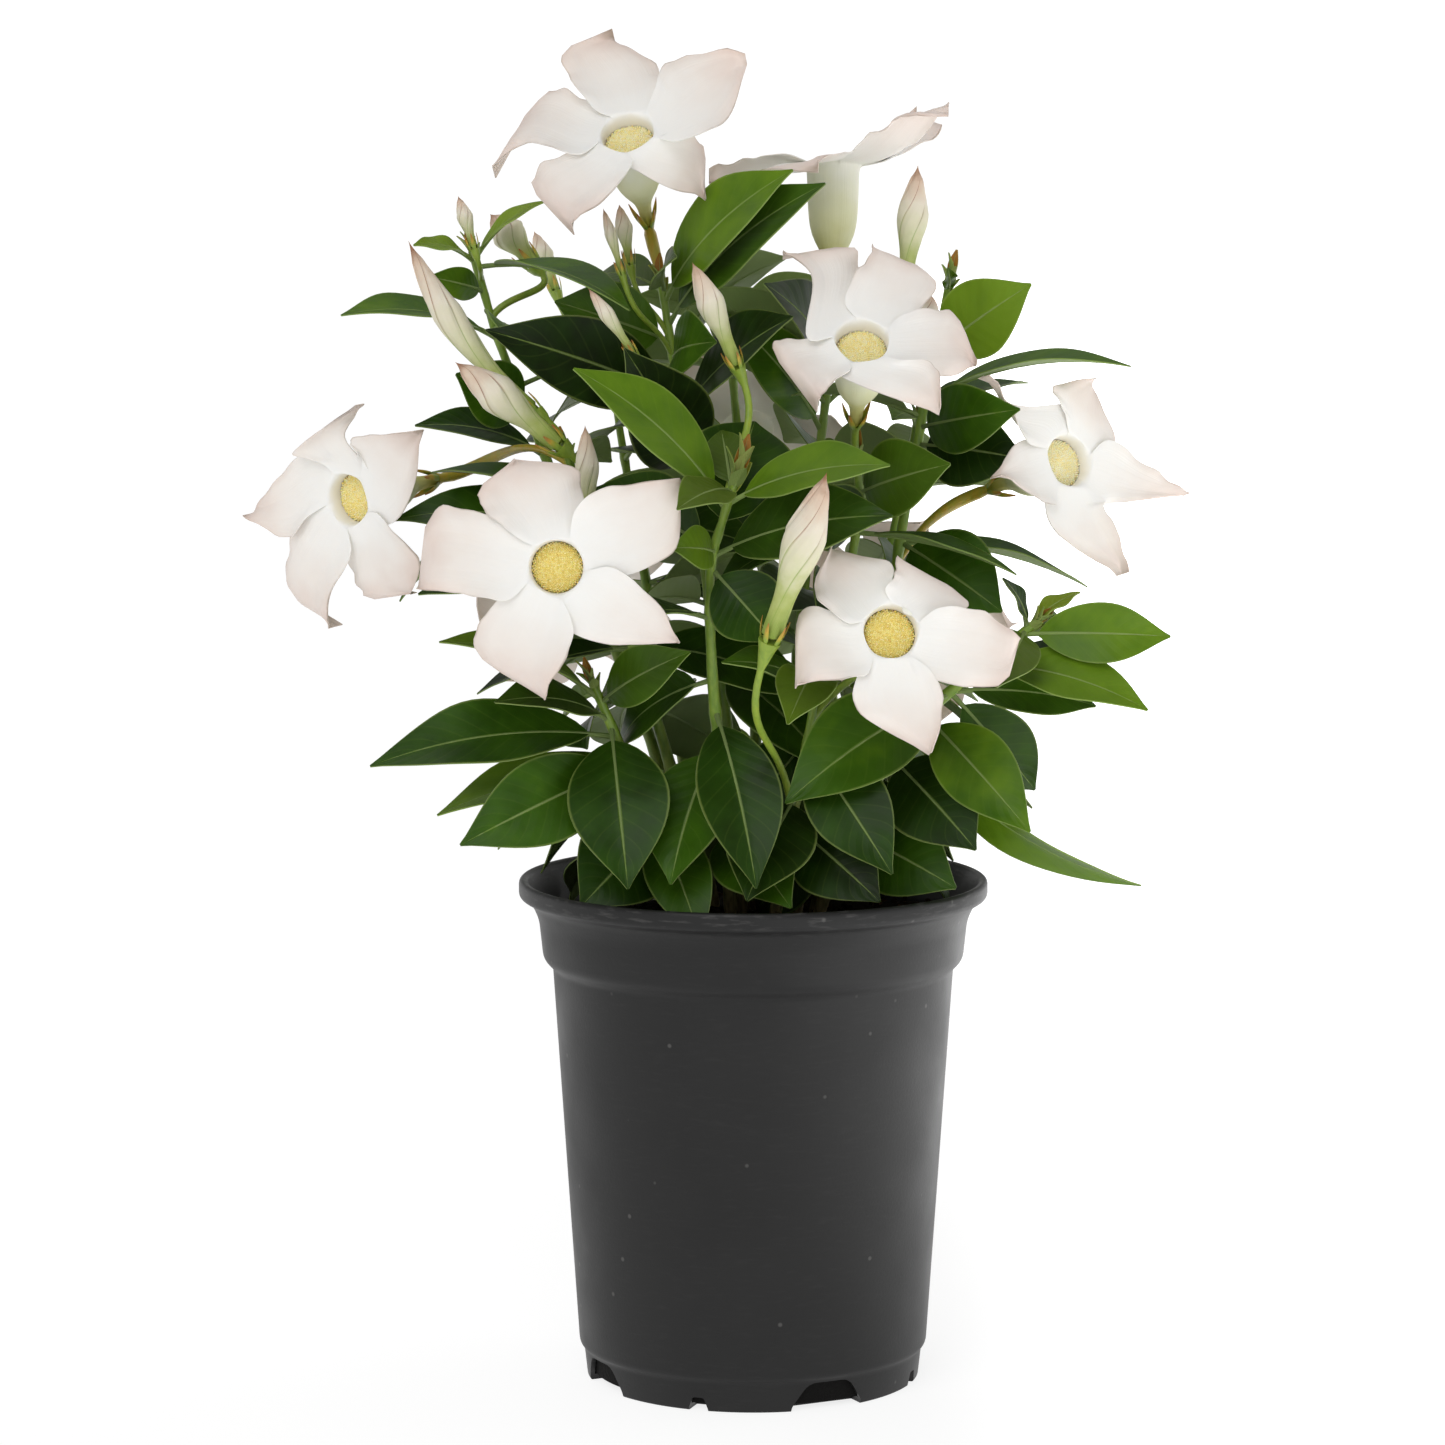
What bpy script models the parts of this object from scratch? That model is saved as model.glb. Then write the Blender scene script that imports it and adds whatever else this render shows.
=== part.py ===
# A potted dipladenia: leafy stems standing in a filled nursery pot, with open blooms and spiral buds.
# Metres, +Z up. The origin is the centre of the pot's flat underside, and the plant is seen from -Y.

import math
import random
from collections import namedtuple

import bmesh
import bpy
from mathutils import Matrix, Vector
from mathutils.bvhtree import BVHTree

MM = 0.001

# Pot: a blown nursery can, 165 mm over its rolled lip and 178 mm tall.
POT_HEIGHT = 178 * MM
LIP_RADIUS = 82.5 * MM
COLLAR_RADIUS = 75.5 * MM
WALL_TOP_RADIUS = 70.6 * MM
WALL_FOOT_RADIUS = 61.6 * MM
FOOT_RADIUS = 58.8 * MM
WALL = 1.3 * MM
FLOOR = 2.0 * MM
POT_SIDES = 36
WIDE_NOTCHES = (26, 116, 206, 296)
NARROW_NOTCHES = (-19, 71, 161, 251)
WIDE_NOTCH = (27, 10.0)
NARROW_NOTCH = (7, 4.8)
NOTCH_SIDE = 0.15
NOTCH_TOP = 0.58

# Potting mix: it fills the pot to a little under the lip.
MIX_TOP = 162 * MM
MIX_SLACK = 0.35 * MM
STEM_FOOT = 138 * MM
HOLE_SLACK = 0.8 * MM

# Growth: the measures shared by every leaf, bloom and bud.
STEM_RADIUS = 2.3 * MM
TWIG_RADIUS = 1.25 * MM
STEM_SIDES = 6
TWIG_SIDES = 5
TWIG_SPANS = 3
STEM_STEP = 26 * MM
PETIOLE = 0.12
PETIOLE_HALF_WIDTH = 0.8 * MM
PETIOLE_THICKNESS = 1.4 * MM
ROOT_SHIFT = 0.4 * MM
BLADE_THICKNESS = 0.7 * MM
LEAF_FOLD = 0.22
SHOWN_ARCH = 0.09
FILLING_ARCHES = (0.05, 0.12)
MIDRIB_THICKNESS = 1.0 * MM
SHOWN_STATIONS = (0.0, PETIOLE, 0.36, 0.70)
FILLING_STATIONS = (0.0, 0.42)
TRUE_STATIONS = (0.0, PETIOLE, 0.20, 0.33, 0.50, 0.68, 0.85)
FIFTH = math.radians(72)
PETAL_THICKNESS = 0.7 * MM
PETAL_STATIONS = (0.36, 0.64, 0.86)
SWIRL = math.radians(16)
PETAL_GAP = math.radians(4)
GAP_PLACE = 0.27
RING_PLACE = 0.12
CORNER_RISES = (0.6, 0.4)
CORNER_PLACES = (0.5, 0.88)
EVEN_PETAL = ((0, 1.0), (-34, 0.88), (15, 0.64))
PETAL_TILT = 2.2 * MM
PETAL_WAVE = 1.3 * MM
THROAT_RADIUS = 9.2 * MM
TUBE_LENGTH = 44 * MM
TUBE_RINGS = ((1.6 * MM, -TUBE_LENGTH), (2.6 * MM, -34 * MM), (7.6 * MM, -22 * MM), (THROAT_RADIUS, 0.0))
FLOWER_VIEW = 42 * MM
SEAT_GAP = 0.3 * MM
CUP_DEPTH = 3 * MM
CUP_RADIUS = 3.6 * MM
SEAT_RADIUS = 2.1 * MM
SEPAL_SPREAD = 6.4 * MM
SEPAL_HEIGHT = 10 * MM
ANTHER_CONE = ((0.75 * MM, -28 * MM), (1.5 * MM, -25.5 * MM), (1.3 * MM, -19 * MM), (0.4 * MM, -15 * MM))
BUD_STATIONS = (0.0, 0.22, 0.42, 0.62, 0.85)
BUD_TWIST = 1.6
BUD_NECK = 0.22
BUD_BELLY = 0.62
CLEARANCE = 0.8 * MM

# The plant's picture: a place on it is a picture point and how far it stands out from the pot's axis.
PICTURE_MIDDLE = 722.5
PICTURE_REACH = 4873.0
EYE = Vector((-10.8, -1698.0, 437.0)) * MM
EYE_DIP = math.radians(6.86)

GREEN = (0.045, 0.16, 0.025, 1)
PETAL_WHITE = (0.88, 0.82, 0.78, 1)
BUD_CREAM = (0.74, 0.70, 0.58, 1)
ANTHER_YELLOW = (0.80, 0.62, 0.12, 1)
POT_BLACK = (0.035, 0.035, 0.037, 1)
MIX_BROWN = (0.035, 0.024, 0.016, 1)


# Each stem is its path above the mix, in millimetres; its first point is where it leaves the mix.
STEMS = {
    "stem_front": [
        (-8, -14), (-10, -24, 208), (-14, -42, 250), (-15, -56, 290), (-11, -64, 308), (-7, -66, 321),
    ],
    "stem_left": [(-19, -3), (-27, -8, 210), (-40, -13, 255), (-54, -23, 300), (-64, -32, 329)],
    "stem_upper_left": [
        (-20, 12), (-33, 17, 215), (-53, 18, 268), (-72, 17, 322), (-88, 16, 362), (-95, 15, 385),
        (-98, 15, 396),
    ],
    "stem_top": [(-4, 5), (-8, 5, 220), (-16, 5, 280), (-25, 4, 340), (-32, 4, 386)],
    "stem_top_right": [(9, 11), (13, 13, 220), (19, 16, 290), (25, 20, 340), (28, 20, 368)],
    "stem_right_upper": [(15, -4), (22, -6, 215), (30, -9, 265), (36, -12, 305), (36, -15, 325)],
    "stem_right": [(22, 6), (33, 8, 210), (45, 7, 255), (52, 5, 300), (60, 6, 345), (68, 4, 386)],
    "stem_low_right": [(22, -16), (35, -24, 203), (58, -32, 238), (82, -38, 260), (95, -40, 271)],
    "stem_front_right": [(7, -22), (13, -33, 203), (19, -42, 235), (22, -46, 258)],
    "stem_low_left": [(-21, -17), (-31, -25, 198), (-44, -31, 224), (-55, -36, 250)],
    "stem_back_left": [(-14, 24), (-25, 40, 215), (-38, 58, 275), (-47, 68, 325), (-50, 70, 345)],
    "stem_back_right": [(15, 24), (30, 42, 215), (46, 60, 272), (55, 68, 312), (60, 70, 335)],
    "stem_back": [(0, 28), (1, 44, 235), (-3, 54, 300), (-7, 56, 350), (-9, 56, 375)],
}

# Blooms: the stem and the height their twig leaves it at, the throat's picture point and how far it
# stands out, and the way they face. Each petal is the picture point of its tip, how far the tip stands
# before the throat in millimetres, and the picture points of the corners on its clockwise and its
# anticlockwise side. Where the picture doesn't show them, `even` has a turn, a reach and those rises.
Bloom = namedtuple("Bloom", "name stem height px py out azimuth elevation petals even")
BLOOMS = [
    Bloom("bloom_crown_left", "stem_top", 380, 627, 132, 25, -12, 45, (
        (745, 53, 6, 724, 114, 672, 62), (613, 32, 4, 656, 58, 562, 59),
        (493, 170, -12, 543, 86, 526, 143), (571, 224, -8, 528, 170, 604, 203),
        (704, 192, -20, 663, 188, 700, 132),
    ), None),
    Bloom("bloom_crown_right", "stem_top_right", 362, 833, 165, -15, 180, 80,
          (), (10, 44, (-3, -6, 17, 25, 9))),
    Bloom("bloom_upper_right", "stem_right_upper", 318, 862, 340, 58, 2, 42, (
        (873, 243, 4, 938, 272, 866, 262), (783, 251, 4, 855, 246, 812, 280),
        (817, 406, -4, 772, 341, 834, 384), (940, 405, -2, 876, 391, 934, 368),
        (977, 359, -3, 950, 369, 952, 311),
    ), None),
    Bloom("bloom_right", "stem_right", 288, 1070, 460, 12, 36, 16, (
        (1099, 378, 2, 1124, 440, 1052, 386), (988, 375, 9, 1028, 402, 1018, 426),
        (996, 476, 7, 1020, 444, 1046, 503), (1127, 573, -2, 1057, 533, 1100, 512),
        (1192, 493, 10, 1122, 500, 1152, 472),
    ), None),
    Bloom("bloom_front_left", "stem_left", 262, 556, 567, 86, -3, 6, (
        (680, 479, 0, 674, 550, 606, 489), (515, 459, -3, 576, 470, 476, 495),
        (417, 588, 1, 434, 510, 478, 596), (544, 700, -3, 473, 648, 571, 645),
        (679, 643, 1, 605, 644, 657, 603),
    ), None),
    Bloom("bloom_front_right", "stem_front_right", 238, 891, 631, 90, 5, 18, (
        (898, 555, -6, 970, 597, 893, 578), (832, 546, -3, 889, 561, 814, 588),
        (796, 686, 0, 800, 610, 850, 678), (931, 752, -2, 859, 711, 943, 704),
        (1021, 638, 1, 1000, 684, 985, 613),
    ), None),
    Bloom("bloom_left", "stem_left", 325, 347, 500, 22, -40, -6, (
        (414, 432, 2, 404, 506, 357, 437), (356, 406, 2, 338, 436, 300, 449),
        (248, 514, 0, 292, 460, 290, 537), (331, 628, -2, 275, 584, 335, 592),
        (409, 595, -4, 351, 599, 415, 561),
    ), None),
    Bloom("bloom_back_left", "stem_back_left", 222, 576, 590, -112, 205, 22,
          (), (15, 44, (2, -5, 0, -7, 4))),
    Bloom("bloom_back_right", "stem_back_right", 218, 904, 616, -112, 150, 14,
          (), (40, 43, (0, -4, 5, -7, 0))),
    Bloom("bloom_back_crown", "stem_back", 270, 748, 428, -92, 178, 40, (), (60, 44, (4, 0, -9, -12, 3))),
]

# Buds: the picture points of the tip and of the base with how far each stands out, and the greatest
# width and the sag of the middle in millimetres.
Bud = namedtuple("Bud", "name stem height tip base width bow", defaults=[0])
BUDS = [
    Bud("bud_long_left", "stem_left", 324, (408, 240, 24), (536, 412, 36), 11, 5),
    Bud("bud_pale_left", "stem_left", 314, (455, 362, 52), (560, 446, 46), 14),
    Bud("bud_behind_front_left", "stem_left", 284, (585, 425, 62), (589, 530, 52), 8.5),
    Bud("bud_small_top", "stem_top", 322, (588, 288, 58), (634, 354, 48), 5.5),
    Bud("bud_centre", "stem_front", 312, (692, 262, 60), (737, 366, 46), 10),
    Bud("bud_crown_pair_left", "stem_top", 360, (603, 208, 16), (622, 274, 14), 4.5),
    Bud("bud_crown_pair_right", "stem_top", 366, (619, 204, 4), (630, 264, 2), 6.5),
    Bud("bud_crown_right", "stem_top_right", 350, (918, 165, 8), (904, 292, 6), 11.5),
    Bud("bud_tall_front", "stem_front_right", 204, (827, 472, 110), (770, 640, 92), 15),
    Bud("bud_upper_left", "stem_upper_left", 386, (458, 196, -4), (474, 248, -4), 6),
    Bud("bud_half_open_left", "stem_upper_left", 374, (490, 214, -28), (534, 264, -24), 13),
    Bud("bud_back_left", "stem_back_left", 342, (534, 231, -100), (556, 292, -88), 8),
    Bud("bud_back_right", "stem_back_right", 333, (930, 292, -100), (926, 366, -86), 11),
    Bud("bud_back_low", "stem_back", 216, (722, 606, -110), (716, 686, -90), 10),
]

# Leaves that the picture shows: the stem, the height it leaves it at, the picture point of its tip,
# how far that stands out, and the width in millimetres that the picture shows of it. A blade that
# looks narrower than it must be is turned: up where `turn` is 1, and down where it is -1.
Leaf = namedtuple("Leaf", "stem height px py out width turn")
LEAVES = [
    Leaf("stem_low_left", 236, 628, 889, 68, 35, 1),
    Leaf("stem_front", 242, 811, 884, 72, 28, 1),
    Leaf("stem_front_right", 230, 892, 874, 70, 28, 1),
    Leaf("stem_low_right", 224, 976, 850, 60, 33, 1),
    Leaf("stem_low_left", 222, 604, 852, 46, 30, 1),
    Leaf("stem_low_left", 200, 588, 896, 56, 34, 1),
    Leaf("stem_front", 200, 791, 908, 66, 30, 1),
    Leaf("stem_front_right", 202, 880, 902, 60, 30, 1),
    Leaf("stem_low_right", 198, 956, 888, 48, 30, 1),
    Leaf("stem_low_left", 232, 370, 766, 48, 24, 1),
    Leaf("stem_low_left", 222, 460, 845, 62, 30, 1),
    Leaf("stem_left", 214, 437, 815, 34, 18, 1),
    Leaf("stem_low_left", 238, 495, 702, 72, 14, 1),
    Leaf("stem_low_left", 246, 428, 673, 56, 12, 1),
    Leaf("stem_low_left", 244, 690, 652, 66, 19, 1),
    Leaf("stem_low_right", 239, 1030, 832, 66, 26, 1),
    Leaf("stem_low_right", 247, 1035, 790, 20, 24, 1),
    Leaf("stem_low_right", 248, 1096, 706, 30, 18, 1),
    Leaf("stem_low_right", 257, 1148, 710, 58, 19, 1),
    Leaf("stem_low_right", 268, 1168, 661, 42, 21, 1),
    Leaf("stem_low_right", 263, 1156, 681, 30, 9, 1),
    Leaf("stem_low_right", 232, 1141, 886, 28, 7, -1),
    Leaf("stem_low_right", 214, 1012, 822, 34, 20, 1),
    Leaf("stem_low_right", 270, 1080, 592, 34, 5.5, 1),
    Leaf("stem_low_right", 270, 1003, 578, 46, 4.5, 1),
    Leaf("stem_right", 296, 1002, 612, 16, 32, 1),
    Leaf("stem_right", 336, 1024, 384, 34, 24, 1),
    Leaf("stem_right", 330, 1028, 448, 22, 28, 1),
    Leaf("stem_right", 346, 1131, 366, 6, 9, 1),
    Leaf("stem_right", 362, 1031, 284, 18, 27, 1),
    Leaf("stem_right", 384, 948, 268, 6, 4.5, 1),
    Leaf("stem_right_upper", 314, 950, 464, 48, 27, 1),
    Leaf("stem_right_upper", 300, 806, 482, 44, 24, 1),
    Leaf("stem_top_right", 352, 765, 268, 34, 18, 1),
    Leaf("stem_top_right", 334, 768, 286, 6, 20, 1),
    Leaf("stem_top", 380, 776, 165, 44, 23, 1),
    Leaf("stem_top", 372, 816, 210, 52, 26, 1),
    Leaf("stem_top", 360, 716, 342, 38, 25, 1),
    Leaf("stem_top", 346, 486, 330, 40, 30, 1),
    Leaf("stem_top", 322, 600, 322, 52, 32, 1),
    Leaf("stem_front", 313, 568, 380, 84, 22, 1),
    Leaf("stem_front", 303, 772, 347, 48, 38, 1),
    Leaf("stem_front", 315, 890, 465, 88, 18, 1),
    Leaf("stem_front", 298, 672, 548, 82, 15, 1),
    Leaf("stem_front", 292, 776, 642, 62, 26, 1),
    Leaf("stem_front_right", 250, 722, 662, 68, 10, 1),
    Leaf("stem_upper_left", 367, 341, 315, 16, 12, 1),
    Leaf("stem_upper_left", 326, 418, 446, 8, 14, 1),
    Leaf("stem_upper_left", 340, 456, 374, 2, 24, 1),
    Leaf("stem_upper_left", 394, 424, 246, 8, 7, 1),
    Leaf("stem_upper_left", 392, 630, 310, 26, 12, 1),
    Leaf("stem_upper_left", 370, 506, 338, 26, 11, 1),
    Leaf("stem_upper_left", 395, 546, 201, -10, 6, 1),
    Leaf("stem_upper_left", 383, 430, 270, 4, 11, 1),
    Leaf("stem_top", 366, 560, 284, 2, 26, 1),
    Leaf("stem_left", 282, 418, 594, 34, 19, 1),
    Leaf("stem_left", 300, 392, 520, 12, 20, 1),
]

# The leaf pairs that fill the plant, every other pair turned a quarter round its stem.
PAIR_STEP = 22 * MM
PAIR_START = 16 * MM
LEAF_LENGTHS = (54 * MM, 78 * MM)
LEAF_WIDTH_SHARE = (0.40, 0.48)
LOW_DROOP = -54
HIGH_RISE = 34
FILL_SEED = 23
BUSH_CENTRE = Vector((-2, 4, 275)) * MM
BUSH_REACH = Vector((126, 118, 132)) * MM

# The ways a leaf may bend aside: a turn across, a turn up or down in degrees, and its share of length.
BENDS = [
    (0, 0, 1.0), (5, 0, 1.0), (-5, 0, 1.0), (0, 5, 1.0), (0, -5, 1.0),
    (9, 4, 1.0), (-9, 4, 1.0), (9, -4, 1.0), (-9, -4, 1.0), (0, 11, 1.0), (0, -11, 1.0),
    (15, 0, 0.95), (-15, 0, 0.95), (12, 12, 0.95), (-12, 12, 0.95), (12, -12, 0.95), (-12, -12, 0.95),
    (0, 20, 0.9), (0, -20, 0.9), (23, 6, 0.88), (-23, 6, 0.88), (22, -9, 0.85), (-22, -9, 0.85),
    (32, 0, 0.8), (-32, 0, 0.8), (0, 32, 0.8), (0, -32, 0.8), (0, 0, 0.72),
]


def seen(px, py, out):
    """The place seen at a picture point that stands `out` millimetres in front of the pot's axis."""
    across = (px - PICTURE_MIDDLE) / PICTURE_REACH
    up = (PICTURE_MIDDLE - py) / PICTURE_REACH
    forward = math.cos(EYE_DIP) + up * math.sin(EYE_DIP)
    rise = up * math.cos(EYE_DIP) - math.sin(EYE_DIP)
    away = (-out * MM - EYE.y) / forward
    return Vector((EYE.x + away * across, -out * MM, EYE.z + away * rise))


def heading(azimuth, elevation):
    """A unit vector: azimuth 0 looks out of the picture, 90 to its right."""
    a = math.radians(azimuth)
    e = math.radians(elevation)
    return Vector((math.sin(a) * math.cos(e), -math.cos(a) * math.cos(e), math.sin(e)))


def square_to(direction, along):
    """The part of a direction that stands square to another, as a unit vector."""
    return (direction - along * direction.dot(along)).normalized()


def curve_through(points, step):
    """Points about one step apart on a smooth curve through the given ones."""
    ends = [points[0] * 2 - points[1]] + points + [points[-1] * 2 - points[-2]]
    found = [points[0]]
    for a, b, c, d in zip(ends, ends[1:], ends[2:], ends[3:]):
        count = max(1, round((c - b).length / step))
        for k in range(1, count + 1):
            t = k / count
            bow = (a * 2 - b * 5 + c * 4 - d) * t**2 + (b * 3 - a - c * 3 + d) * t**3
            found.append((b * 2 + (c - a) * t + bow) / 2)
    return found


def stem_path(name, step=STEM_STEP):
    """A stem's path: upright in its hole in the mix, and then along its own curve."""
    (x, y), *above = STEMS[name]
    rise = Vector((x, y, MIX_TOP / MM + 3)) * MM
    foot = Vector((rise.x, rise.y, STEM_FOOT))
    return [foot] + curve_through([rise] + [Vector(p) * MM for p in above], step)


def at_height(path, height):
    """The point of a rising path at this height."""
    for a, b in zip(path, path[1:]):
        if a.z <= height <= b.z:
            return a.lerp(b, (height - a.z) / (b.z - a.z))
    return path[-1].copy()


def arc_between(start, start_way, end, end_way, count):
    """A twig's path, leaving one place along one direction and reaching another along a second."""
    pull = (end - start).length * 0.45
    b = start + start_way * pull
    c = end - end_way * pull
    found = []
    for k in range(count + 1):
        t = k / count
        u = 1 - t
        found.append(start * u**3 + b * (3 * t * u * u) + c * (3 * t * t * u) + end * t**3)
    return found


def bloom_axes(bloom):
    """A bloom's throat, the way it faces, and its own right and up as seen from in front."""
    throat = seen(bloom.px, bloom.py, bloom.out)
    face = heading(bloom.azimuth, bloom.elevation)
    right = Vector((0, 0, 1)).cross(face).normalized()
    return throat, face, right, face.cross(right)


def bloom_twig(bloom, path):
    """The twig from a stem to the foot of a bloom's tube."""
    throat, face, _, _ = bloom_axes(bloom)
    foot = throat - face * (TUBE_LENGTH + PETAL_THICKNESS / 2 + SEAT_GAP)
    neck = foot - face * CUP_DEPTH
    start = at_height(path, bloom.height * MM)
    way = ((neck - start).normalized() + Vector((0, 0, 0.6))).normalized()
    return arc_between(start, way, neck, face, TWIG_SPANS) + [foot]


def bud_ends(bud):
    """A bud's foot and tip."""
    return seen(*bud.base), seen(*bud.tip)


def bud_place(bud, s):
    """The middle of a bud, s of the way from its foot to its tip; a bowed one sags between them."""
    foot, tip = bud_ends(bud)
    sag = square_to(Vector((0, 0, -1)), (tip - foot).normalized()) * (bud.bow * MM)
    return foot + (tip - foot) * s + sag * (4 * s * (1 - s))


def bud_way(bud, s):
    """The way a bud points, s of the way from its foot."""
    return (bud_place(bud, s + 0.05) - bud_place(bud, s - 0.05)).normalized()


def bud_twig(bud, path):
    """The twig from a stem to the foot of a bud."""
    foot = bud_place(bud, 0)
    way = bud_way(bud, 0)
    start = at_height(path, bud.height * MM)
    neck = foot - way * (CUP_DEPTH + SEAT_GAP)
    first = ((neck - start).normalized() + Vector((0, 0, 0.5))).normalized()
    return arc_between(start, first, neck, way, TWIG_SPANS) + [foot - way * SEAT_GAP]


def upward_face(base, tip, turn):
    """The way a leaf's upper side looks: up and outwards, square to its length."""
    along = (tip - base).normalized()
    middle = (base + tip) / 2
    outward = Vector((middle.x, middle.y, 0)).normalized()
    face = square_to(outward * 0.8 + Vector((0, 0, 0.75)), along)
    return Matrix.Rotation(math.radians(turn), 3, along) @ face


def shown_face(base, tip, shown, width, turn):
    """The way a leaf's upper side looks where the picture shows this much of its width."""
    along = (tip - base).normalized()
    face = square_to(Vector((0, -1, 0.25)), along)
    angle = math.acos(min(1, shown / width)) * turn
    side = along.cross(face)
    return face * math.cos(angle) + side * (math.sin(angle) * (1 if side.z > 0 else -1))


def blade_width(t):
    """A blade's share of its full width, t of the way from its base to its pointed tip."""
    return math.sin(math.pi * t**0.88) ** (0.72 + 0.42 * t)


def leaf_point(leaf, s, c):
    """The middle of the leaf's thickness, s along it and c across it from -1 to 1, and the face there."""
    base, tip, face, width, arch, fold = leaf
    length = (tip - base).length
    along = (tip - base) / length
    side = along.cross(face)
    bow = arch * length
    middle = base + (tip - base) * s + face * (bow * 4 * s * (1 - s))
    tangent = (along * length + face * (bow * 4 * (1 - 2 * s))).normalized()
    normal = side.cross(tangent).normalized()
    half = PETIOLE_HALF_WIDTH
    if s > PETIOLE:
        half += width / 2 * blade_width((s - PETIOLE) / (1 - PETIOLE))
    return middle + side * (half * c * math.cos(fold)) + normal * (half * abs(c) * math.sin(fold)), normal


def bent(base, tip, face, bend):
    """A leaf's root, tip and face after it bends aside from its neighbours."""
    across, up, share = bend
    side = (tip - base).normalized().cross(face)
    turn = Matrix.Rotation(math.radians(across), 3, face) @ Matrix.Rotation(math.radians(up), 3, side)
    reach = turn @ (tip - base) * share
    return base + reach.normalized() * ROOT_SHIFT, base + reach, (turn @ face).normalized()


def shown_leaves(paths):
    """The picture's own leaves, as (stem, base, tip, face, width, arch, fold)."""
    found = []
    for leaf in LEAVES:
        base = at_height(paths[leaf.stem], leaf.height * MM)
        tip = seen(leaf.px, leaf.py, leaf.out)
        width = max(leaf.width * MM, min(0.40 * (tip - base).length, 30 * MM))
        face = shown_face(base, tip, leaf.width * MM, width, leaf.turn)
        found.append((leaf.stem, base, tip, face, width, SHOWN_ARCH, LEAF_FOLD))
    return found


def filling_leaves(paths):
    """Opposite pairs up every stem, drooping low down and rising at the top."""
    draw = random.Random(FILL_SEED)
    found = []
    for name, path in paths.items():
        start = draw.uniform(0, 180)
        top = path[-1].z
        count = int((top - MIX_TOP - PAIR_START) / PAIR_STEP) + 1
        for k in range(count):
            height = top - 2 * MM - k * PAIR_STEP
            base = at_height(path, height)
            for side in (0, 180):
                azimuth = start + 90 * k + side + draw.uniform(-18, 18)
                share = (height - MIX_TOP) / (BUSH_CENTRE.z + BUSH_REACH.z - MIX_TOP)
                elevation = LOW_DROOP + (HIGH_RISE - LOW_DROOP) * share + draw.uniform(-12, 12)
                length = draw.uniform(*LEAF_LENGTHS) * (0.62 if k == 0 else 1)
                width = length * draw.uniform(*LEAF_WIDTH_SHARE)
                arch = draw.uniform(*FILLING_ARCHES)
                tip = base + heading(azimuth, elevation) * length
                face = upward_face(base, tip, draw.uniform(-14, 14))
                found.append((name, base, tip, face, width, arch, LEAF_FOLD))
    return found


def in_bush(point):
    """Whether a point lies within the outline of the foliage: upright sides under a rounded crown."""
    offset = point - BUSH_CENTRE
    rise = max(0, offset.z / BUSH_REACH.z)
    return (offset.x / BUSH_REACH.x) ** 2 + (offset.y / BUSH_REACH.y) ** 2 + rise**2 < 1


def hides_a_flower(points):
    """Whether a leaf would hang in front of a bloom or a bud, as the plant is seen from the front."""
    near = [bloom for bloom in BLOOMS if not bloom.name.startswith("bloom_back")]
    fronts = [(seen(bloom.px, bloom.py, bloom.out), FLOWER_VIEW) for bloom in near]
    for bud in BUDS:
        foot, tip = bud_ends(bud)
        if not bud.name.startswith("bud_back"):
            fronts += [(foot.lerp(tip, t), bud.width * MM) for t in (0.1, 0.5, 0.9)]
    for centre, reach in fronts:
        for point in points:
            if point.y < centre.y and math.hypot(point.x - centre.x, point.z - centre.z) < reach:
                return True
    return False


def mesh_of(bm):
    """Corner points and triangles of a bmesh, as plain lists."""
    bmesh.ops.triangulate(bm, faces=bm.faces)
    bm.verts.index_update()
    return [v.co.copy() for v in bm.verts], [[v.index for v in f.verts] for f in bm.faces]


def leaf_solid(leaf, stations, spare=0.0):
    """One leaf: a three-sided petiole widening into a folded, arched blade that ends in a point.

    `spare` thickens it for the clearance test.
    """
    bm = bmesh.new()
    rings = []
    for s in stations:
        (left, _), (middle, normal), (right, _) = [leaf_point(leaf, s, c) for c in (-1, 0, 1)]
        if s <= PETIOLE:
            rings.append([left, right, middle - normal * PETIOLE_THICKNESS])
        else:
            edge = normal * (BLADE_THICKNESS + spare) / 2
            rib = normal * (MIDRIB_THICKNESS + spare) / 2
            upper = [left + edge, middle + rib, right + edge]
            rings.append(upper + [right - edge, middle - rib, left - edge])
    rings = [[bm.verts.new(p) for p in ring] for ring in rings]
    tip = bm.verts.new(leaf_point(leaf, 1.0, 0)[0])
    widening = (
        (0, 0, 1), (0, 1, None), (1, 1, 2), (1, 2, 3), (1, 3, None), (2, 3, 4), (2, 4, 5), (2, 5, None),
    )
    nexts = {0: 1, 1: 2, 2: 0}
    for low, high in zip(rings, rings[1:]):
        if len(low) < len(high):
            for corner, first, second in widening:
                if second is None:
                    bm.faces.new((low[corner], high[first], low[nexts[corner]]))
                else:
                    bm.faces.new((low[corner], high[first], high[second]))
            bm.faces.new((low[0], high[5], high[0]))
            continue
        for j in range(len(low)):
            n = (j + 1) % len(low)
            bm.faces.new((low[j], high[j], high[n]))
            bm.faces.new((low[j], high[n], low[n]))
    for j in range(len(rings[-1])):
        bm.faces.new((rings[-1][j], tip, rings[-1][(j + 1) % len(rings[-1])]))
    bm.faces.new(rings[0])
    bmesh.ops.recalc_face_normals(bm, faces=bm.faces)
    return bm


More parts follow.
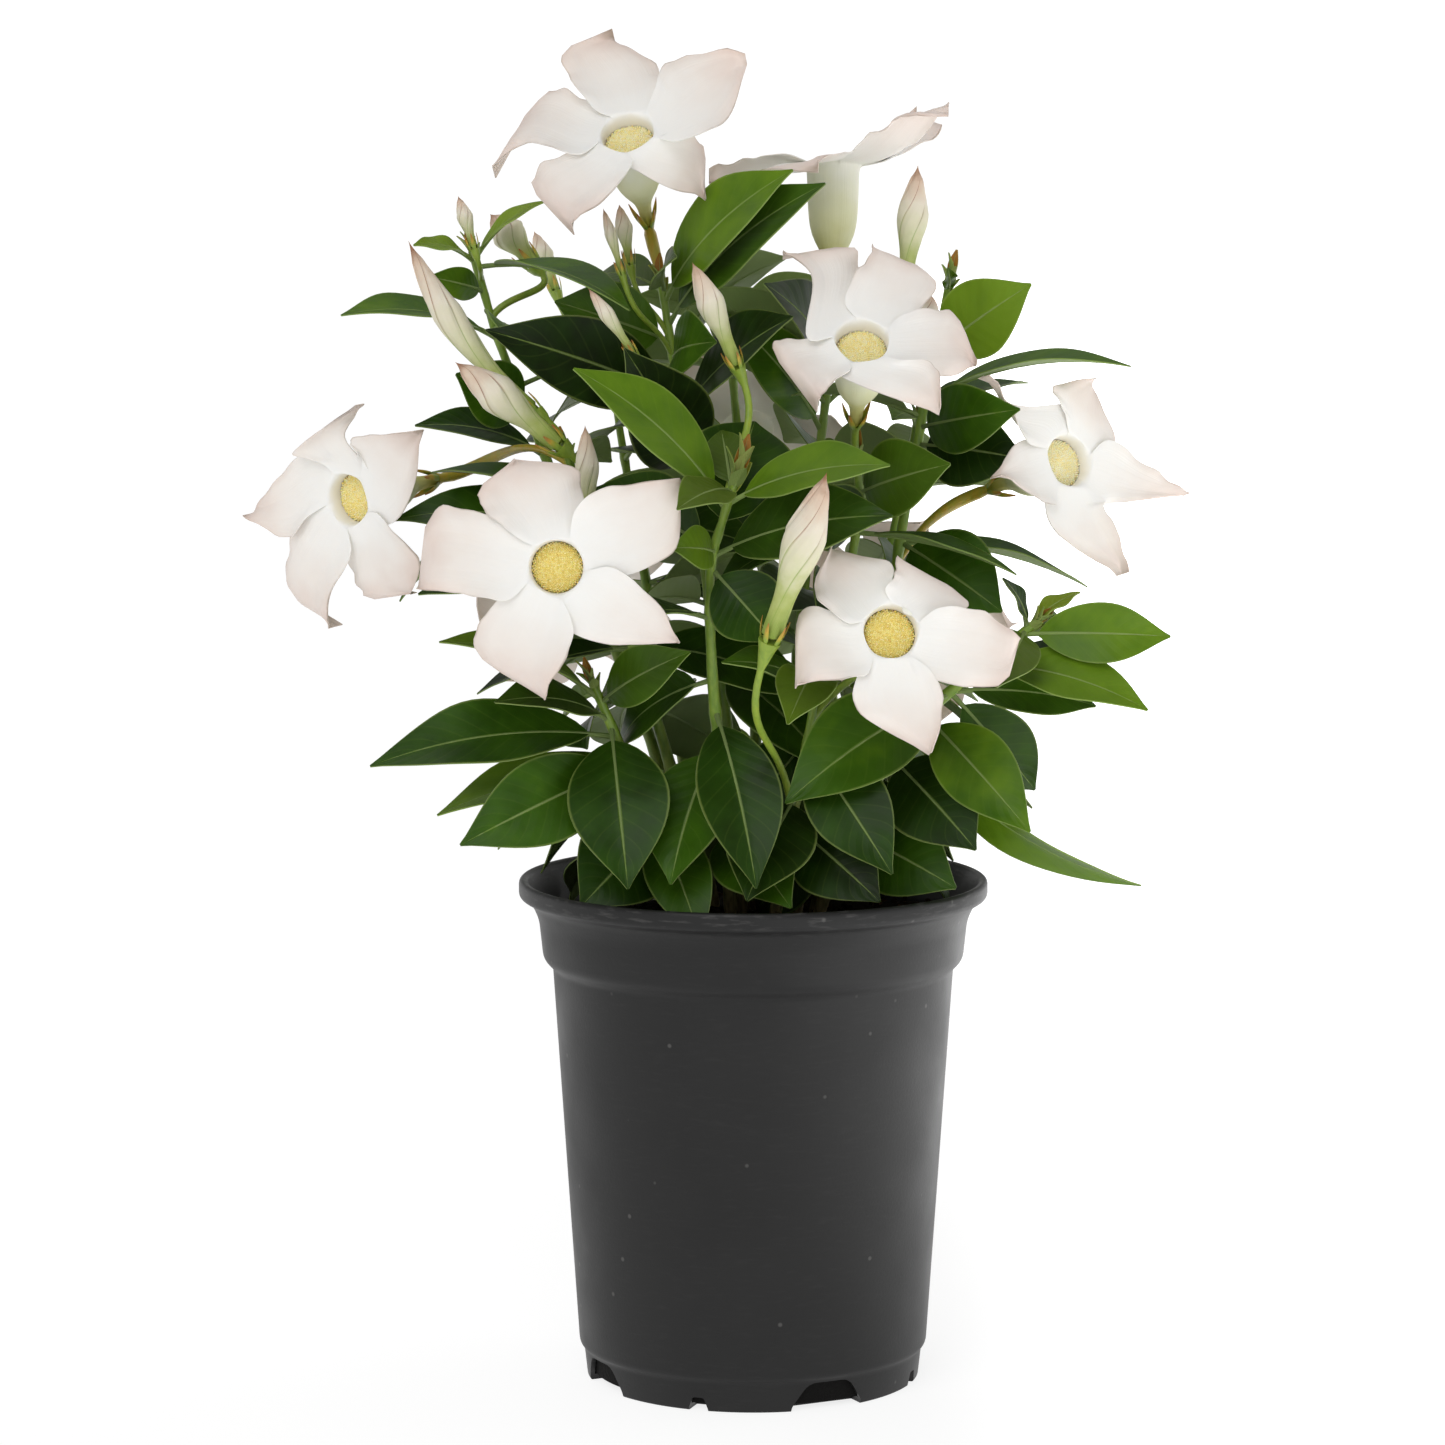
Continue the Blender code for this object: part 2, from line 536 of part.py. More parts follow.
def rings_along(bm, path, radii, sides):
    """Rings of corners round a path, each square to it and turned as little as can be from the last."""
    rings = []
    side = None
    for k, point in enumerate(path):
        ahead = path[min(k + 1, len(path) - 1)] - point
        behind = point - path[max(k - 1, 0)]
        way = (ahead.normalized() + behind.normalized()).normalized()
        side = square_to(side or Vector((0.31, 0.93, 0.17)), way)
        other = way.cross(side)
        ring = []
        for j in range(sides):
            a = 2 * math.pi * j / sides
            ring.append(bm.verts.new(point + (side * math.cos(a) + other * math.sin(a)) * radii[k]))
        rings.append(ring)
    for low, high in zip(rings, rings[1:]):
        for j in range(sides):
            n = (j + 1) % sides
            bm.faces.new((low[j], low[n], high[n], high[j]))
    bm.faces.new(rings[0][::-1])
    return rings


def tube_solid(path, radii, sides):
    """A round rod along a path, with flat ends."""
    bm = bmesh.new()
    bm.faces.new(rings_along(bm, path, radii, sides)[-1])
    return bm


def calyx_solid(path):
    """A bloom's twig, ending in a small cup with a pointed sepal standing on each of its five sides."""
    bm = bmesh.new()
    radii = [TWIG_RADIUS] * (len(path) - 2) + [TWIG_RADIUS * 1.15, CUP_RADIUS]
    rim = rings_along(bm, path, radii, TWIG_SIDES)[-1]
    foot = path[-1]
    way = (path[-1] - path[-2]).normalized()
    outs = [((a.co + b.co) / 2 - foot).normalized() for a, b in zip(rim, rim[1:] + rim[:1])]
    inner = [bm.verts.new(foot + out * SEAT_RADIUS) for out in outs]
    bm.faces.new(inner)
    for j, out in enumerate(outs):
        n = (j + 1) % TWIG_SIDES
        tip = bm.verts.new(foot + out * SEPAL_SPREAD + way * SEPAL_HEIGHT)
        bm.faces.new((rim[j], rim[n], tip))
        bm.faces.new((rim[n], inner[j], tip))
        bm.faces.new((inner[j], rim[j], tip))
        bm.faces.new((rim[n], inner[n], inner[j]))
    bmesh.ops.recalc_face_normals(bm, faces=bm.faces)
    return bm


def along(points, knots, s):
    """The place s of the way along a smooth curve that passes each point at its knot."""
    k = max(j for j in range(len(knots) - 1) if knots[j] <= s)
    t = (s - knots[k]) / (knots[k + 1] - knots[k])
    b, c = points[k], points[k + 1]
    a = points[k - 1] if k else b * 2 - c
    d = points[k + 2] if k + 2 < len(points) else c * 2 - b
    return (b * 2 + (c - a) * t + (a * 2 - b * 5 + c * 4 - d) * t**2 + (b * 3 - a - c * 3 + d) * t**3) / 2


def on_round(turn, reach):
    """The place in a bloom's own axes at this angle and distance from its middle."""
    return Vector((math.cos(turn), math.sin(turn))) * reach


def petals_of(bloom):
    """A bloom's petals, anticlockwise from in front, as (tip, rise, corner before it, corner after it)."""
    found = []
    if bloom.even:
        roll, reach, rises = bloom.even
        for k, rise in enumerate(rises):
            turn = math.radians(roll) + FIFTH * k
            places = [on_round(turn + math.radians(off), reach * share * MM) for off, share in EVEN_PETAL]
            found.append((places[0], rise * MM, *places[1:]))
        return found
    throat, face, right, up = bloom_axes(bloom)
    for px, py, rise, *corners in bloom.petals:
        places = []
        for x, y, share in ((px, py, 1), (*corners[:2], CORNER_RISES[0]), (*corners[2:], CORNER_RISES[1])):
            ray = seen(x, y, 0) - EYE
            level = throat + face * (rise * share * MM)
            place = EYE + ray * ((level - EYE).dot(face) / ray.dot(face)) - throat
            places.append(Vector((place.dot(right), place.dot(up))))
        found.append((places[0], rise * MM, *places[1:]))
    return sorted(found, key=lambda petal: math.atan2(petal[0].y, petal[0].x) % (2 * math.pi))


def petal_point(petals, k, s, c):
    """A point of petal k of a bloom, s of the way out and c across it, in the bloom's own axes.

    From the throat, each side runs through the petal's corner on that side to its tip.
    """
    turns = [math.atan2(petal[0].y, petal[0].x) % (2 * math.pi) for petal in petals]
    middle = sum(turns[j] - FIFTH * j for j in range(5)) / 5 + FIFTH * k - SWIRL
    tip, rise, *corners = petals[k]
    edges = []
    for side, corner, gap in zip((-1, 1), corners, (0.0, PETAL_GAP)):
        share = (corner.length - THROAT_RADIUS) / (tip.length - THROAT_RADIUS)
        share = min(CORNER_PLACES[1], max(CORNER_PLACES[0], share))
        reach = THROAT_RADIUS + GAP_PLACE * (tip.length - THROAT_RADIUS)
        inner = on_round(middle + side * (FIFTH / 2 - gap), reach)
        points = [on_round(middle + side * FIFTH / 2, THROAT_RADIUS), inner, corner, tip]
        edges.append(along(points, (0.0, GAP_PLACE, share, 1.0), s))
    flat = edges[0].lerp(edges[1], (c + 1) / 2)
    ring = on_round(middle + c * FIFTH / 2, THROAT_RADIUS)
    flat = ring.lerp(flat, min(1.0, s / RING_PLACE))
    height = rise * s * s + PETAL_TILT * c * s + PETAL_WAVE * math.sin(4.4 * s + k * 1.9) * s
    return Vector((flat.x, flat.y, height))


def corolla_solid(bloom):
    """A bloom's thin trumpet: a narrow tube, a wide throat and five petals swirled one way."""
    throat, face, right, up = bloom_axes(bloom)
    petals = petals_of(bloom)
    bm = bmesh.new()

    def place(local):
        return bm.verts.new(throat + right * local.x + up * local.y + face * local.z)

    def ring(radius, height):
        found = []
        for k in range(5):
            for c in (-1, 0):
                edge = petal_point(petals, k, 0, c) * (radius / THROAT_RADIUS)
                found.append(place(Vector((edge.x, edge.y, height))))
        return found

    rings = [ring(radius, height) for radius, height in TUBE_RINGS]
    for low, high in zip(rings, rings[1:]):
        for j in range(10):
            n = (j + 1) % 10
            bm.faces.new((low[j], low[n], high[n]))
            bm.faces.new((low[j], high[n], high[j]))
    for k in range(5):
        rows = [[rings[-1][(2 * k + j) % 10] for j in range(3)]]
        for s in PETAL_STATIONS:
            rows.append([place(petal_point(petals, k, s, c)) for c in (-1, 0, 1)])
        tip = place(petal_point(petals, k, 1.0, 0))
        for low, high in zip(rows, rows[1:]):
            for j in range(2):
                bm.faces.new((low[j], low[j + 1], high[j + 1]))
                bm.faces.new((low[j], high[j + 1], high[j]))
        for j in range(2):
            bm.faces.new((rows[-1][j], rows[-1][j + 1], tip))
    return bm


def bud_radius(s):
    """A furled bud's share of its full radius, s of the way from its foot: a tube, a belly and a point."""
    if s < BUD_BELLY:
        swell = max(0, (s - BUD_NECK) / (BUD_BELLY - BUD_NECK))
        return 0.48 + 0.52 * swell * swell * (3 - 2 * swell)
    point = (s - BUD_BELLY) / (1 - BUD_BELLY)
    return max(0.06, (1 - point) ** 0.8 * (1 + 0.1 * point))


def bud_solid(bud):
    """A furled bud: a slim tube swelling into a twisted, pointed spindle."""
    bm = bmesh.new()
    rings = []
    for s in BUD_STATIONS:
        way = bud_way(bud, s)
        side = square_to(Vector((0.2, 0.9, 0.3)), way)
        other = way.cross(side)
        radius = bud.width * MM / 2 * bud_radius(s)
        ring = []
        for j in range(5):
            a = FIFTH * j + BUD_TWIST * s
            out = (side * math.cos(a) + other * math.sin(a)) * radius
            ring.append(bm.verts.new(bud_place(bud, s) + out))
        rings.append(ring)
    for low, high in zip(rings, rings[1:]):
        for j in range(5):
            n = (j + 1) % 5
            bm.faces.new((low[j], low[n], high[n]))
            bm.faces.new((low[j], high[n], high[j]))
    bm.faces.new(rings[0][::-1])
    end = bm.verts.new(bud_place(bud, 1))
    for j in range(5):
        bm.faces.new((rings[-1][j], rings[-1][(j + 1) % 5], end))
    return bm


def anther_solid(bloom):
    """The style that stands in a bloom's tube, with the pointed cone of anthers on it."""
    throat, face, _, _ = bloom_axes(bloom)
    shape = ((ANTHER_CONE[0][0], -TUBE_LENGTH - PETAL_THICKNESS / 2), *ANTHER_CONE)
    path = [throat + face * height for _, height in shape]
    return tube_solid(path, [radius for radius, _ in shape], TWIG_SIDES)


class Clearing:
    """The solids already placed, kept to find whether a new one would touch them."""

    def __init__(self):
        self.placed = []

    def add(self, node, bm):
        points, faces = mesh_of(bm)
        low = Vector([min(p[k] for p in points) for k in range(3)])
        high = Vector([max(p[k] for p in points) for k in range(3)])
        self.placed.append((node, BVHTree.FromPolygons(points, faces), low, high))

    def touches(self, node, own, bm):
        """Whether the solid meets any placed one: of its own node if `own`, and of the others if not."""
        points, faces = mesh_of(bm)
        low = [min(p[k] for p in points) for k in range(3)]
        high = [max(p[k] for p in points) for k in range(3)]
        tree = None
        for other, placed, other_low, other_high in self.placed:
            if (other == node) != own:
                continue
            if any(low[k] > other_high[k] or high[k] < other_low[k] for k in range(3)):
                continue
            tree = tree or BVHTree.FromPolygons(points, faces)
            if tree.overlap(placed):
                return True
        return False


def thickened(bm, depth):
    """A closed solid made from a thin sheet."""
    bmesh.ops.recalc_face_normals(bm, faces=bm.faces)
    mesh = bpy.data.meshes.new("sheet")
    bm.to_mesh(mesh)
    bm.free()
    sheet = bpy.data.objects.new("sheet", mesh)
    bpy.context.scene.collection.objects.link(sheet)
    wall = sheet.modifiers.new("wall", "SOLIDIFY")
    wall.thickness = depth
    wall.offset = 0
    solid = applied(sheet)
    bpy.data.objects.remove(sheet)
    return solid


def applied(obj):
    """The object's shape with its modifiers, as a bmesh."""
    bpy.context.view_layer.update()
    graph = bpy.context.evaluated_depsgraph_get()
    evaluated = obj.evaluated_get(graph)
    bm = bmesh.new()
    bm.from_mesh(evaluated.to_mesh())
    evaluated.to_mesh_clear()
    return bm


def finish(name):
    """The named surface finish, made once."""
    colour, roughness = {
        "leaf_green": (GREEN, 0.38),
        "petal_white": (PETAL_WHITE, 0.55),
        "bud_cream": (BUD_CREAM, 0.5),
        "anther_yellow": (ANTHER_YELLOW, 0.7),
        "pot_black": (POT_BLACK, 0.42),
        "mix_brown": (MIX_BROWN, 0.95),
    }[name]
    material = bpy.data.materials.get(name)
    if material is None:
        material = bpy.data.materials.new(name)
        material.use_nodes = True
        shader = material.node_tree.nodes["Principled BSDF"]
        shader.inputs["Base Color"].default_value = colour
        shader.inputs["Roughness"].default_value = roughness
    return material


def add_object(name, bm, finish_name, smooth=35):
    """A named object of the plant, with its finish, shaded smooth up to an angle."""
    mesh = bpy.data.meshes.new(name)
    bm.to_mesh(mesh)
    bm.free()
    mesh.shade_smooth()
    mesh.set_sharp_from_angle(angle=math.radians(smooth))
    mesh.materials.append(finish(finish_name))
    obj = bpy.data.objects.new(name, mesh)
    bpy.context.scene.collection.objects.link(obj)
    return obj


def fused(solids):
    """One closed body from solids that run into each other."""
    parts = bpy.data.collections.new("parts")
    bpy.context.scene.collection.children.link(parts)
    objects = []
    for bm in solids:
        mesh = bpy.data.meshes.new("piece")
        bm.to_mesh(mesh)
        bm.free()
        objects.append(bpy.data.objects.new("piece", mesh))
    bpy.context.scene.collection.objects.link(objects[0])
    for obj in objects[1:]:
        parts.objects.link(obj)
    if len(objects) > 1:
        union = objects[0].modifiers.new("union", "BOOLEAN")
        union.operation = "UNION"
        union.operand_type = "COLLECTION"
        union.collection = parts
        union.solver = "EXACT"
    body = applied(objects[0])
    for obj in objects:
        bpy.data.objects.remove(obj)
    bpy.data.collections.remove(parts)
    bmesh.ops.dissolve_limit(body, angle_limit=math.radians(0.3), verts=body.verts, edges=body.edges)
    return body


def turned(profile, sides):
    """A solid of revolution about Z from a closed profile of (radius, height) in millimetres."""
    bm = bmesh.new()
    verts = [bm.verts.new(Vector((r, 0, z)) * MM) for r, z in profile]
    edges = [bm.edges.new(pair) for pair in zip(verts, verts[1:])]
    bmesh.ops.spin(
        bm, geom=verts + edges, cent=(0, 0, 0), axis=(0, 0, 1), steps=sides, angle=2 * math.pi,
        use_merge=True,
    )
    bmesh.ops.remove_doubles(bm, verts=bm.verts, dist=0.01 * MM)
    bmesh.ops.recalc_face_normals(bm, faces=bm.faces)
    return bm


def cut_away(obj, bm):
    """Takes a hidden cutter shape out of an object."""
    bmesh.ops.recalc_face_normals(bm, faces=bm.faces)
    mesh = bpy.data.meshes.new("cutter")
    bm.to_mesh(mesh)
    bm.free()
    cutter = bpy.data.objects.new("cutter", mesh)
    bpy.context.scene.collection.objects.link(cutter)
    cutter.hide_render = True
    cutter.display_type = "WIRE"
    cut = obj.modifiers.new("cut", "BOOLEAN")
    cut.operation = "DIFFERENCE"
    cut.object = cutter
    cut.solver = "EXACT"


def add_notch(bm, azimuth, width, height):
    """Adds a cutter with sloping sides at the pot's foot, facing this way."""
    half = width / 2
    low = height * NOTCH_SIDE
    top = half * NOTCH_TOP
    outline = [(-half, -1), (half, -1), (half, low), (top, height), (-top, height), (-half, low)]
    turn = Matrix.Rotation(math.radians(azimuth), 3, "Z")
    near = [bm.verts.new(turn @ Vector((x, -50, z)) * MM) for x, z in outline]
    far = [bm.verts.new(turn @ Vector((x, -70, z)) * MM) for x, z in outline]
    count = len(outline)
    for j in range(count):
        n = (j + 1) % count
        bm.faces.new((near[j], near[n], far[n], far[j]))
    bm.faces.new(near[::-1])
    bm.faces.new(far)


def make_pot():
    """The pot: a rolled lip, a concave neck, a collar, a step and a tapered wall to a notched foot."""
    lip = LIP_RADIUS / MM
    collar = COLLAR_RADIUS / MM
    wall_top = WALL_TOP_RADIUS / MM
    wall_foot = WALL_FOOT_RADIUS / MM
    foot = FOOT_RADIUS / MM
    height = POT_HEIGHT / MM
    thick = WALL / MM
    floor = FLOOR / MM
    outer = [
        (0, 0), (foot, 0), (foot + 1.2, 10.6), (wall_foot, 12.2), (wall_top, 146.5), (collar - 1.5, 150.0),
        (collar, 163.8), (collar + 2.6, 169.6), (lip, 172.0), (lip, 177.0), (lip - 1.0, height),
    ]
    inner = [
        (lip - 3.0, height - 0.6), (collar + 0.9, 169.8), (collar - thick, 164.0),
        (collar - 1.5 - thick, 150.6), (wall_top - thick, 147.0), (wall_foot - thick, 13.4),
        (foot - 0.5, 11.4), (foot - 1.4, floor), (0, floor),
    ]
    pot = add_object("pot", turned(outer + inner, POT_SIDES), "pot_black")
    notches = bmesh.new()
    for azimuth in WIDE_NOTCHES:
        add_notch(notches, azimuth, *WIDE_NOTCH)
    for azimuth in NARROW_NOTCHES:
        add_notch(notches, azimuth, *NARROW_NOTCH)
    cut_away(pot, notches)


def mix_height(x, y):
    """The uneven top of the potting mix."""
    return 1.6 * math.sin(x * 70) * math.cos(y * 85 + 0.7) + 1.1 * math.sin(y * 150 + x * 60)


def make_mix():
    """The potting mix, filling the pot, with a plain hole for each stem."""
    top = MIX_TOP / MM
    slack = MIX_SLACK / MM
    thick = WALL / MM + slack
    collar = COLLAR_RADIUS / MM - thick
    wall_top = WALL_TOP_RADIUS / MM - thick
    wall_foot = WALL_FOOT_RADIUS / MM - thick
    foot = FOOT_RADIUS / MM
    floor = FLOOR / MM + slack
    profile = [
        (0, floor), (foot - 1.9, floor), (foot - 1.0, 11.6), (wall_foot, 13.9), (wall_top - 0.1, 147.4),
        (collar - 1.9, 151.4), (collar - 1.0, top - 2.0), (56, top - 0.5), (30, top), (0, top + 1.0),
    ]
    bm = turned(profile, 20)
    for v in bm.verts:
        if v.co.z > MIX_TOP - 1 * MM:
            v.co.z += mix_height(v.co.x, v.co.y) * MM
    mix = add_object("potting_mix", bm, "mix_brown")
    holes = bmesh.new()
    radius = STEM_RADIUS + HOLE_SLACK
    for (x, y), *_ in STEMS.values():
        place = Matrix.Translation((x * MM, y * MM, STEM_FOOT - SEAT_GAP + 20 * MM))
        bmesh.ops.create_cone(
            holes, cap_ends=True, segments=6, radius1=radius, radius2=radius, depth=40 * MM, matrix=place
        )
    cut_away(mix, holes)


def stem_radii(path):
    """A stem's radius at each point of its path, tapering to its soft tip."""
    last = len(path) - 1
    return [STEM_RADIUS * (1 - 0.45 * (k / last) ** 1.5) for k in range(last + 1)]


def meets(stem, leaf, stations, clearing):
    """Whether a leaf, made with these stations, comes too near a solid that is already placed."""
    blade = tuple(s for s in stations if s > 2 * PETIOLE)
    if clearing.touches(stem, True, leaf_solid(leaf, (2 * PETIOLE, *blade), 2 * CLEARANCE)):
        return True
    return clearing.touches(stem, False, leaf_solid(leaf, stations, 2 * CLEARANCE))


def place_leaves(paths, clearing):
    """Every leaf that finds room, by stem, each bent aside just enough to clear what stands there."""
    by_stem = {name: [] for name in STEMS}
    shown = shown_leaves(paths)
    for number, (name, base, tip, face, width, arch, fold) in enumerate(shown + filling_leaves(paths)):
        filling = number >= len(shown)
        stations = FILLING_STATIONS if filling else SHOWN_STATIONS
        for bend in BENDS:
            root, end, up = bent(base, tip, face, bend)
            leaf = (root, end, up, width, arch, fold)
            points = [leaf_point(leaf, s, c)[0] for s in (0.36, 0.7, 1.0) for c in (-0.8, 0, 0.8)]
            if filling and (not in_bush(end) or hides_a_flower(points)):
                continue
            if any(meets(name, leaf, form, clearing) for form in (stations, TRUE_STATIONS)):
                continue
            clearing.add(name, leaf_solid(leaf, stations))
            clearing.add(name, leaf_solid(leaf, TRUE_STATIONS))
            by_stem[name].append(leaf_solid(leaf, stations))
            break
    return by_stem


def main():
    for obj in list(bpy.data.objects):
        bpy.data.objects.remove(obj)
    make_pot()
    make_mix()
    clearing = Clearing()
    for name in ("pot", "potting_mix"):
        clearing.add(name, applied(bpy.data.objects[name]))

    paths = {name: stem_path(name) for name in STEMS}
    wood = {name: [tube_solid(path, stem_radii(path), STEM_SIDES)] for name, path in paths.items()}
    for bloom in BLOOMS:
        twig = bloom_twig(bloom, paths[bloom.stem])
        wood[bloom.stem].append(calyx_solid(twig))
    for bud in BUDS:
        twig = bud_twig(bud, paths[bud.stem])
        end = bud.width * MM / 2 * bud_radius(0) + 0.5 * MM
        radii = [TWIG_RADIUS] * (len(twig) - 1) + [end]
        wood[bud.stem].append(tube_solid(twig, radii, TWIG_SIDES))
    for name, solids in wood.items():
        for bm in solids:
            clearing.add(name, bm.copy())

    for bloom in BLOOMS:
        corolla = thickened(corolla_solid(bloom), PETAL_THICKNESS)
        clearing.add(bloom.name, corolla.copy())
        add_object(bloom.name, corolla, "petal_white", 60)
        add_object(bloom.name.replace("bloom", "anthers"), anther_solid(bloom), "anther_yellow")
    for bud in BUDS:
        solid = bud_solid(bud)
        clearing.add(bud.name, solid.copy())
        add_object(bud.name, solid, "bud_cream", 60)

    leaves = place_leaves(paths, clearing)
    for name, solids in wood.items():
        body = fused(solids + leaves[name])
        add_object(name, body, "leaf_green")


main()
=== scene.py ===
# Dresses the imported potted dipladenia: its leaves, wood, blooms, buds, pot and potting mix, on a pale
# floor in soft light. Metres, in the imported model's own frame: +Z up, and the viewer is at -Y.

import math
import random
from collections import namedtuple
from functools import partial

import bmesh
import bpy
from mathutils import Matrix, Vector, noise
from mathutils.kdtree import KDTree


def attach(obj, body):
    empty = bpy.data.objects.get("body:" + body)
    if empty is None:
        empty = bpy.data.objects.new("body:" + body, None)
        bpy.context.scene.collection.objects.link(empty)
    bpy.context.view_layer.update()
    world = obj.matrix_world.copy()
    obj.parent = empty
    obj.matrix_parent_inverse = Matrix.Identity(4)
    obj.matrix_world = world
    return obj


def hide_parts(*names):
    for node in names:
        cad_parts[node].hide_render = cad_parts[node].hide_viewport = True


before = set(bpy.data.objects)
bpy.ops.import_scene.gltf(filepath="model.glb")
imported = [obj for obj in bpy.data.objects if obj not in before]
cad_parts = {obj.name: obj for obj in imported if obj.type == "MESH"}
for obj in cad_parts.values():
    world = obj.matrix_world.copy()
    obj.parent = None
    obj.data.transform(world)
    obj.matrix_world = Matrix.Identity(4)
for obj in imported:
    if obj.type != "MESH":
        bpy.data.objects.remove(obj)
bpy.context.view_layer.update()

MM = 0.001
FIFTH = math.radians(72)

# Pot and potting mix, as in the solids.
POT_HEIGHT = 178 * MM
LIP_RADIUS = 82.5 * MM
COLLAR_RADIUS = 75.5 * MM
WALL_TOP_RADIUS = 70.6 * MM
WALL_FOOT_RADIUS = 61.6 * MM
FOOT_RADIUS = 58.8 * MM
WALL = 1.3 * MM
FLOOR = 2.0 * MM
WIDE_NOTCHES = (26, 116, 206, 296)
NARROW_NOTCHES = (-19, 71, 161, 251)
WIDE_NOTCH = (27, 10.0)
NARROW_NOTCH = (7, 4.8)
NOTCH_SIDE = 0.15
NOTCH_TOP = 0.58
MIX_TOP = 162 * MM
MIX_SLACK = 0.35 * MM
STEM_FOOT = 138 * MM

# Growth, as in the solids.
STEM_RADIUS = 2.3 * MM
TWIG_RADIUS = 1.25 * MM
STEM_STEP = 26 * MM
PETIOLE = 0.12
ROOT_SHIFT = 0.4 * MM
LEAF_FOLD = 0.22
SHOWN_ARCH = 0.09
FILLING_ARCHES = (0.05, 0.12)
PETAL_THICKNESS = 0.7 * MM
SWIRL = math.radians(16)
PETAL_LAP = math.radians(9)
LAP_PLACE = 0.27
CORNER_RISES = (0.6, 0.4)
CORNER_PLACES = (0.5, 0.88)
EVEN_PETAL = ((0, 1.0), (-34, 0.88), (15, 0.64))
THROAT_RADIUS = 9.2 * MM
TUBE_LENGTH = 44 * MM
TUBE_RINGS = ((1.6 * MM, -TUBE_LENGTH), (2.6 * MM, -34 * MM), (7.6 * MM, -22 * MM), (THROAT_RADIUS, 0.0))
SEAT_GAP = 0.3 * MM
CUP_DEPTH = 3 * MM
SEPAL_SPREAD = 6.4 * MM
SEPAL_HEIGHT = 10 * MM
BUD_TWIST = 1.6
BUD_NECK = 0.22
BUD_BELLY = 0.62

# The plant's picture: a place on it is a picture point and how far it stands out from the pot's axis.
PICTURE_MIDDLE = 722.5
PICTURE_REACH = 4873.0
PICTURE_SIZE = 1445
EYE = Vector((-10.8, -1698.0, 437.0)) * MM
EYE_DIP = math.radians(6.86)
SENSOR = 36.0

# Fineness of the dressed pieces: faces across and along each sheet, sides of the rods and steps of a path.
LEAF_GRID = (10, 20)
YOUNG_LEAF_GRID = (6, 10)
SEPAL_GRID = (4, 8)
PETAL_GRID = (14, 40)
TUBE_SHARE = 0.4
THROAT_GRID = (32, 12)
BUD_GRID = (40, 44)
POT_STEPS = 144
MIX_COLUMNS = 120
MIX_RINGS = 36
STEM_SIDES = 12
TWIG_SIDES = 10
MIDRIB_SIDES = 6
FINE_STEP = 5 * MM
BLOOM_TWIG_SPANS = 16
BUD_TWIG_SPANS = 14
SAME_PLACE = 0.05 * MM

# Leaves: the softness of the rib's fold, the waves of the margin, the veins, and the young ones at a tip.
BLADE_FOOT_WIDTH = 0.35 * MM
BLADE_DEPTH = 0.45 * MM
BLADE_START = PETIOLE * 0.9
RIB_SOFTNESS = 0.14
WAVES = 12.0
VEIN_PAIRS = 9.0
WIDTH_SHARE = 0.40
WIDEST_HIDDEN = 30 * MM
YOUNG_REACH = 70 * MM
TIP_SIZE = 12 * MM
TIP_SIZES = {"stem_front": 19 * MM}

# Wood: how a stem thins, swells at its leaves and turns brown at its foot, and the ends of its twigs.
STEM_TAPER = 0.45
NODE_LENGTH = 2.4 * MM
NODE_SWELL = 0.22
WOODY_BELOW = 235 * MM
WOODY_FADE = 70 * MM
BLOOM_CUP = (1.7 * MM, 2.5 * MM)
SEPAL_THICKNESS = 0.35 * MM

# Petals: how far each fold, wave and roll lifts them, in metres or as a share of their width.
PETAL_TILT = 2.2 * MM
PETAL_WAVE = 1.3 * MM
PETAL_TROUGH = 0.8 * MM
LAP_RISE = 1.2 * MM
MARGIN_ROLL = 0.06
MARGIN_FLUTTER = 0.9 * MM
MARGIN_RIPPLE = 2.0 * MM
TIP_ROLL = 2.2 * MM

# Throats: the rounding at the mouth, and the mat of hairs. Some are this much paler than the front ones.
THROAT_ROUND = 2.6 * MM
THROAT_HAIRS = 420
THROAT_FILL = 8.75 * MM
THROAT_DEPTH = 4.4 * MM
THROAT_DOME = 1.4 * MM
HAIR_SIZES = (0.28 * MM, 0.46 * MM)
GOLDEN_TURN = math.radians(137.508)
PALE_THROATS = {"bloom_crown_left": 0.7, "bloom_right": 0.9, "bloom_upper_right": 0.6, "bloom_left": 0.35}
# The blooms whose twigs are thick and flushed orange.
FLUSHED = ("bloom_right", "bloom_crown_left", "bloom_left", "bloom_crown_right")
# The crumbs on the mix: how many, and the shares of peat, bark and perlite by their `kind`.
CRUMBS = 620
CRUMB_SHARES = {0.0: 0.72, 0.5: 0.22, 1.0: 0.06}

# The floor's glow, and the painted glow added to the right of the pot that lights it, and where that rises
# and fades (metres).
FLOOR_RADIUS = 14
FLOOR_GLOW = 0.82
SIDE_GLOW = 1.4
GLOW_RISE = (0.05, 0.4)
GLOW_FADE = (0.6, 1.1)

# Light: the dome's strength at the horizon and high up, and where the one passes into the other. Each
# lamp: its name, the way towards it, how wide it looks (degrees) and its strength.
HORIZON = 1.05
DOME = 0.24
HORIZON_BAND = (0.06, 0.35)
LAMPS = (
    ("key", (-0.35, -1.0, 0.9), 45, 1.2),
    ("side", (0.94, 0.34, 0.27), 40, 0.5),
    ("top", (-0.3, 0.5, 1.4), 60, 0.5),
)

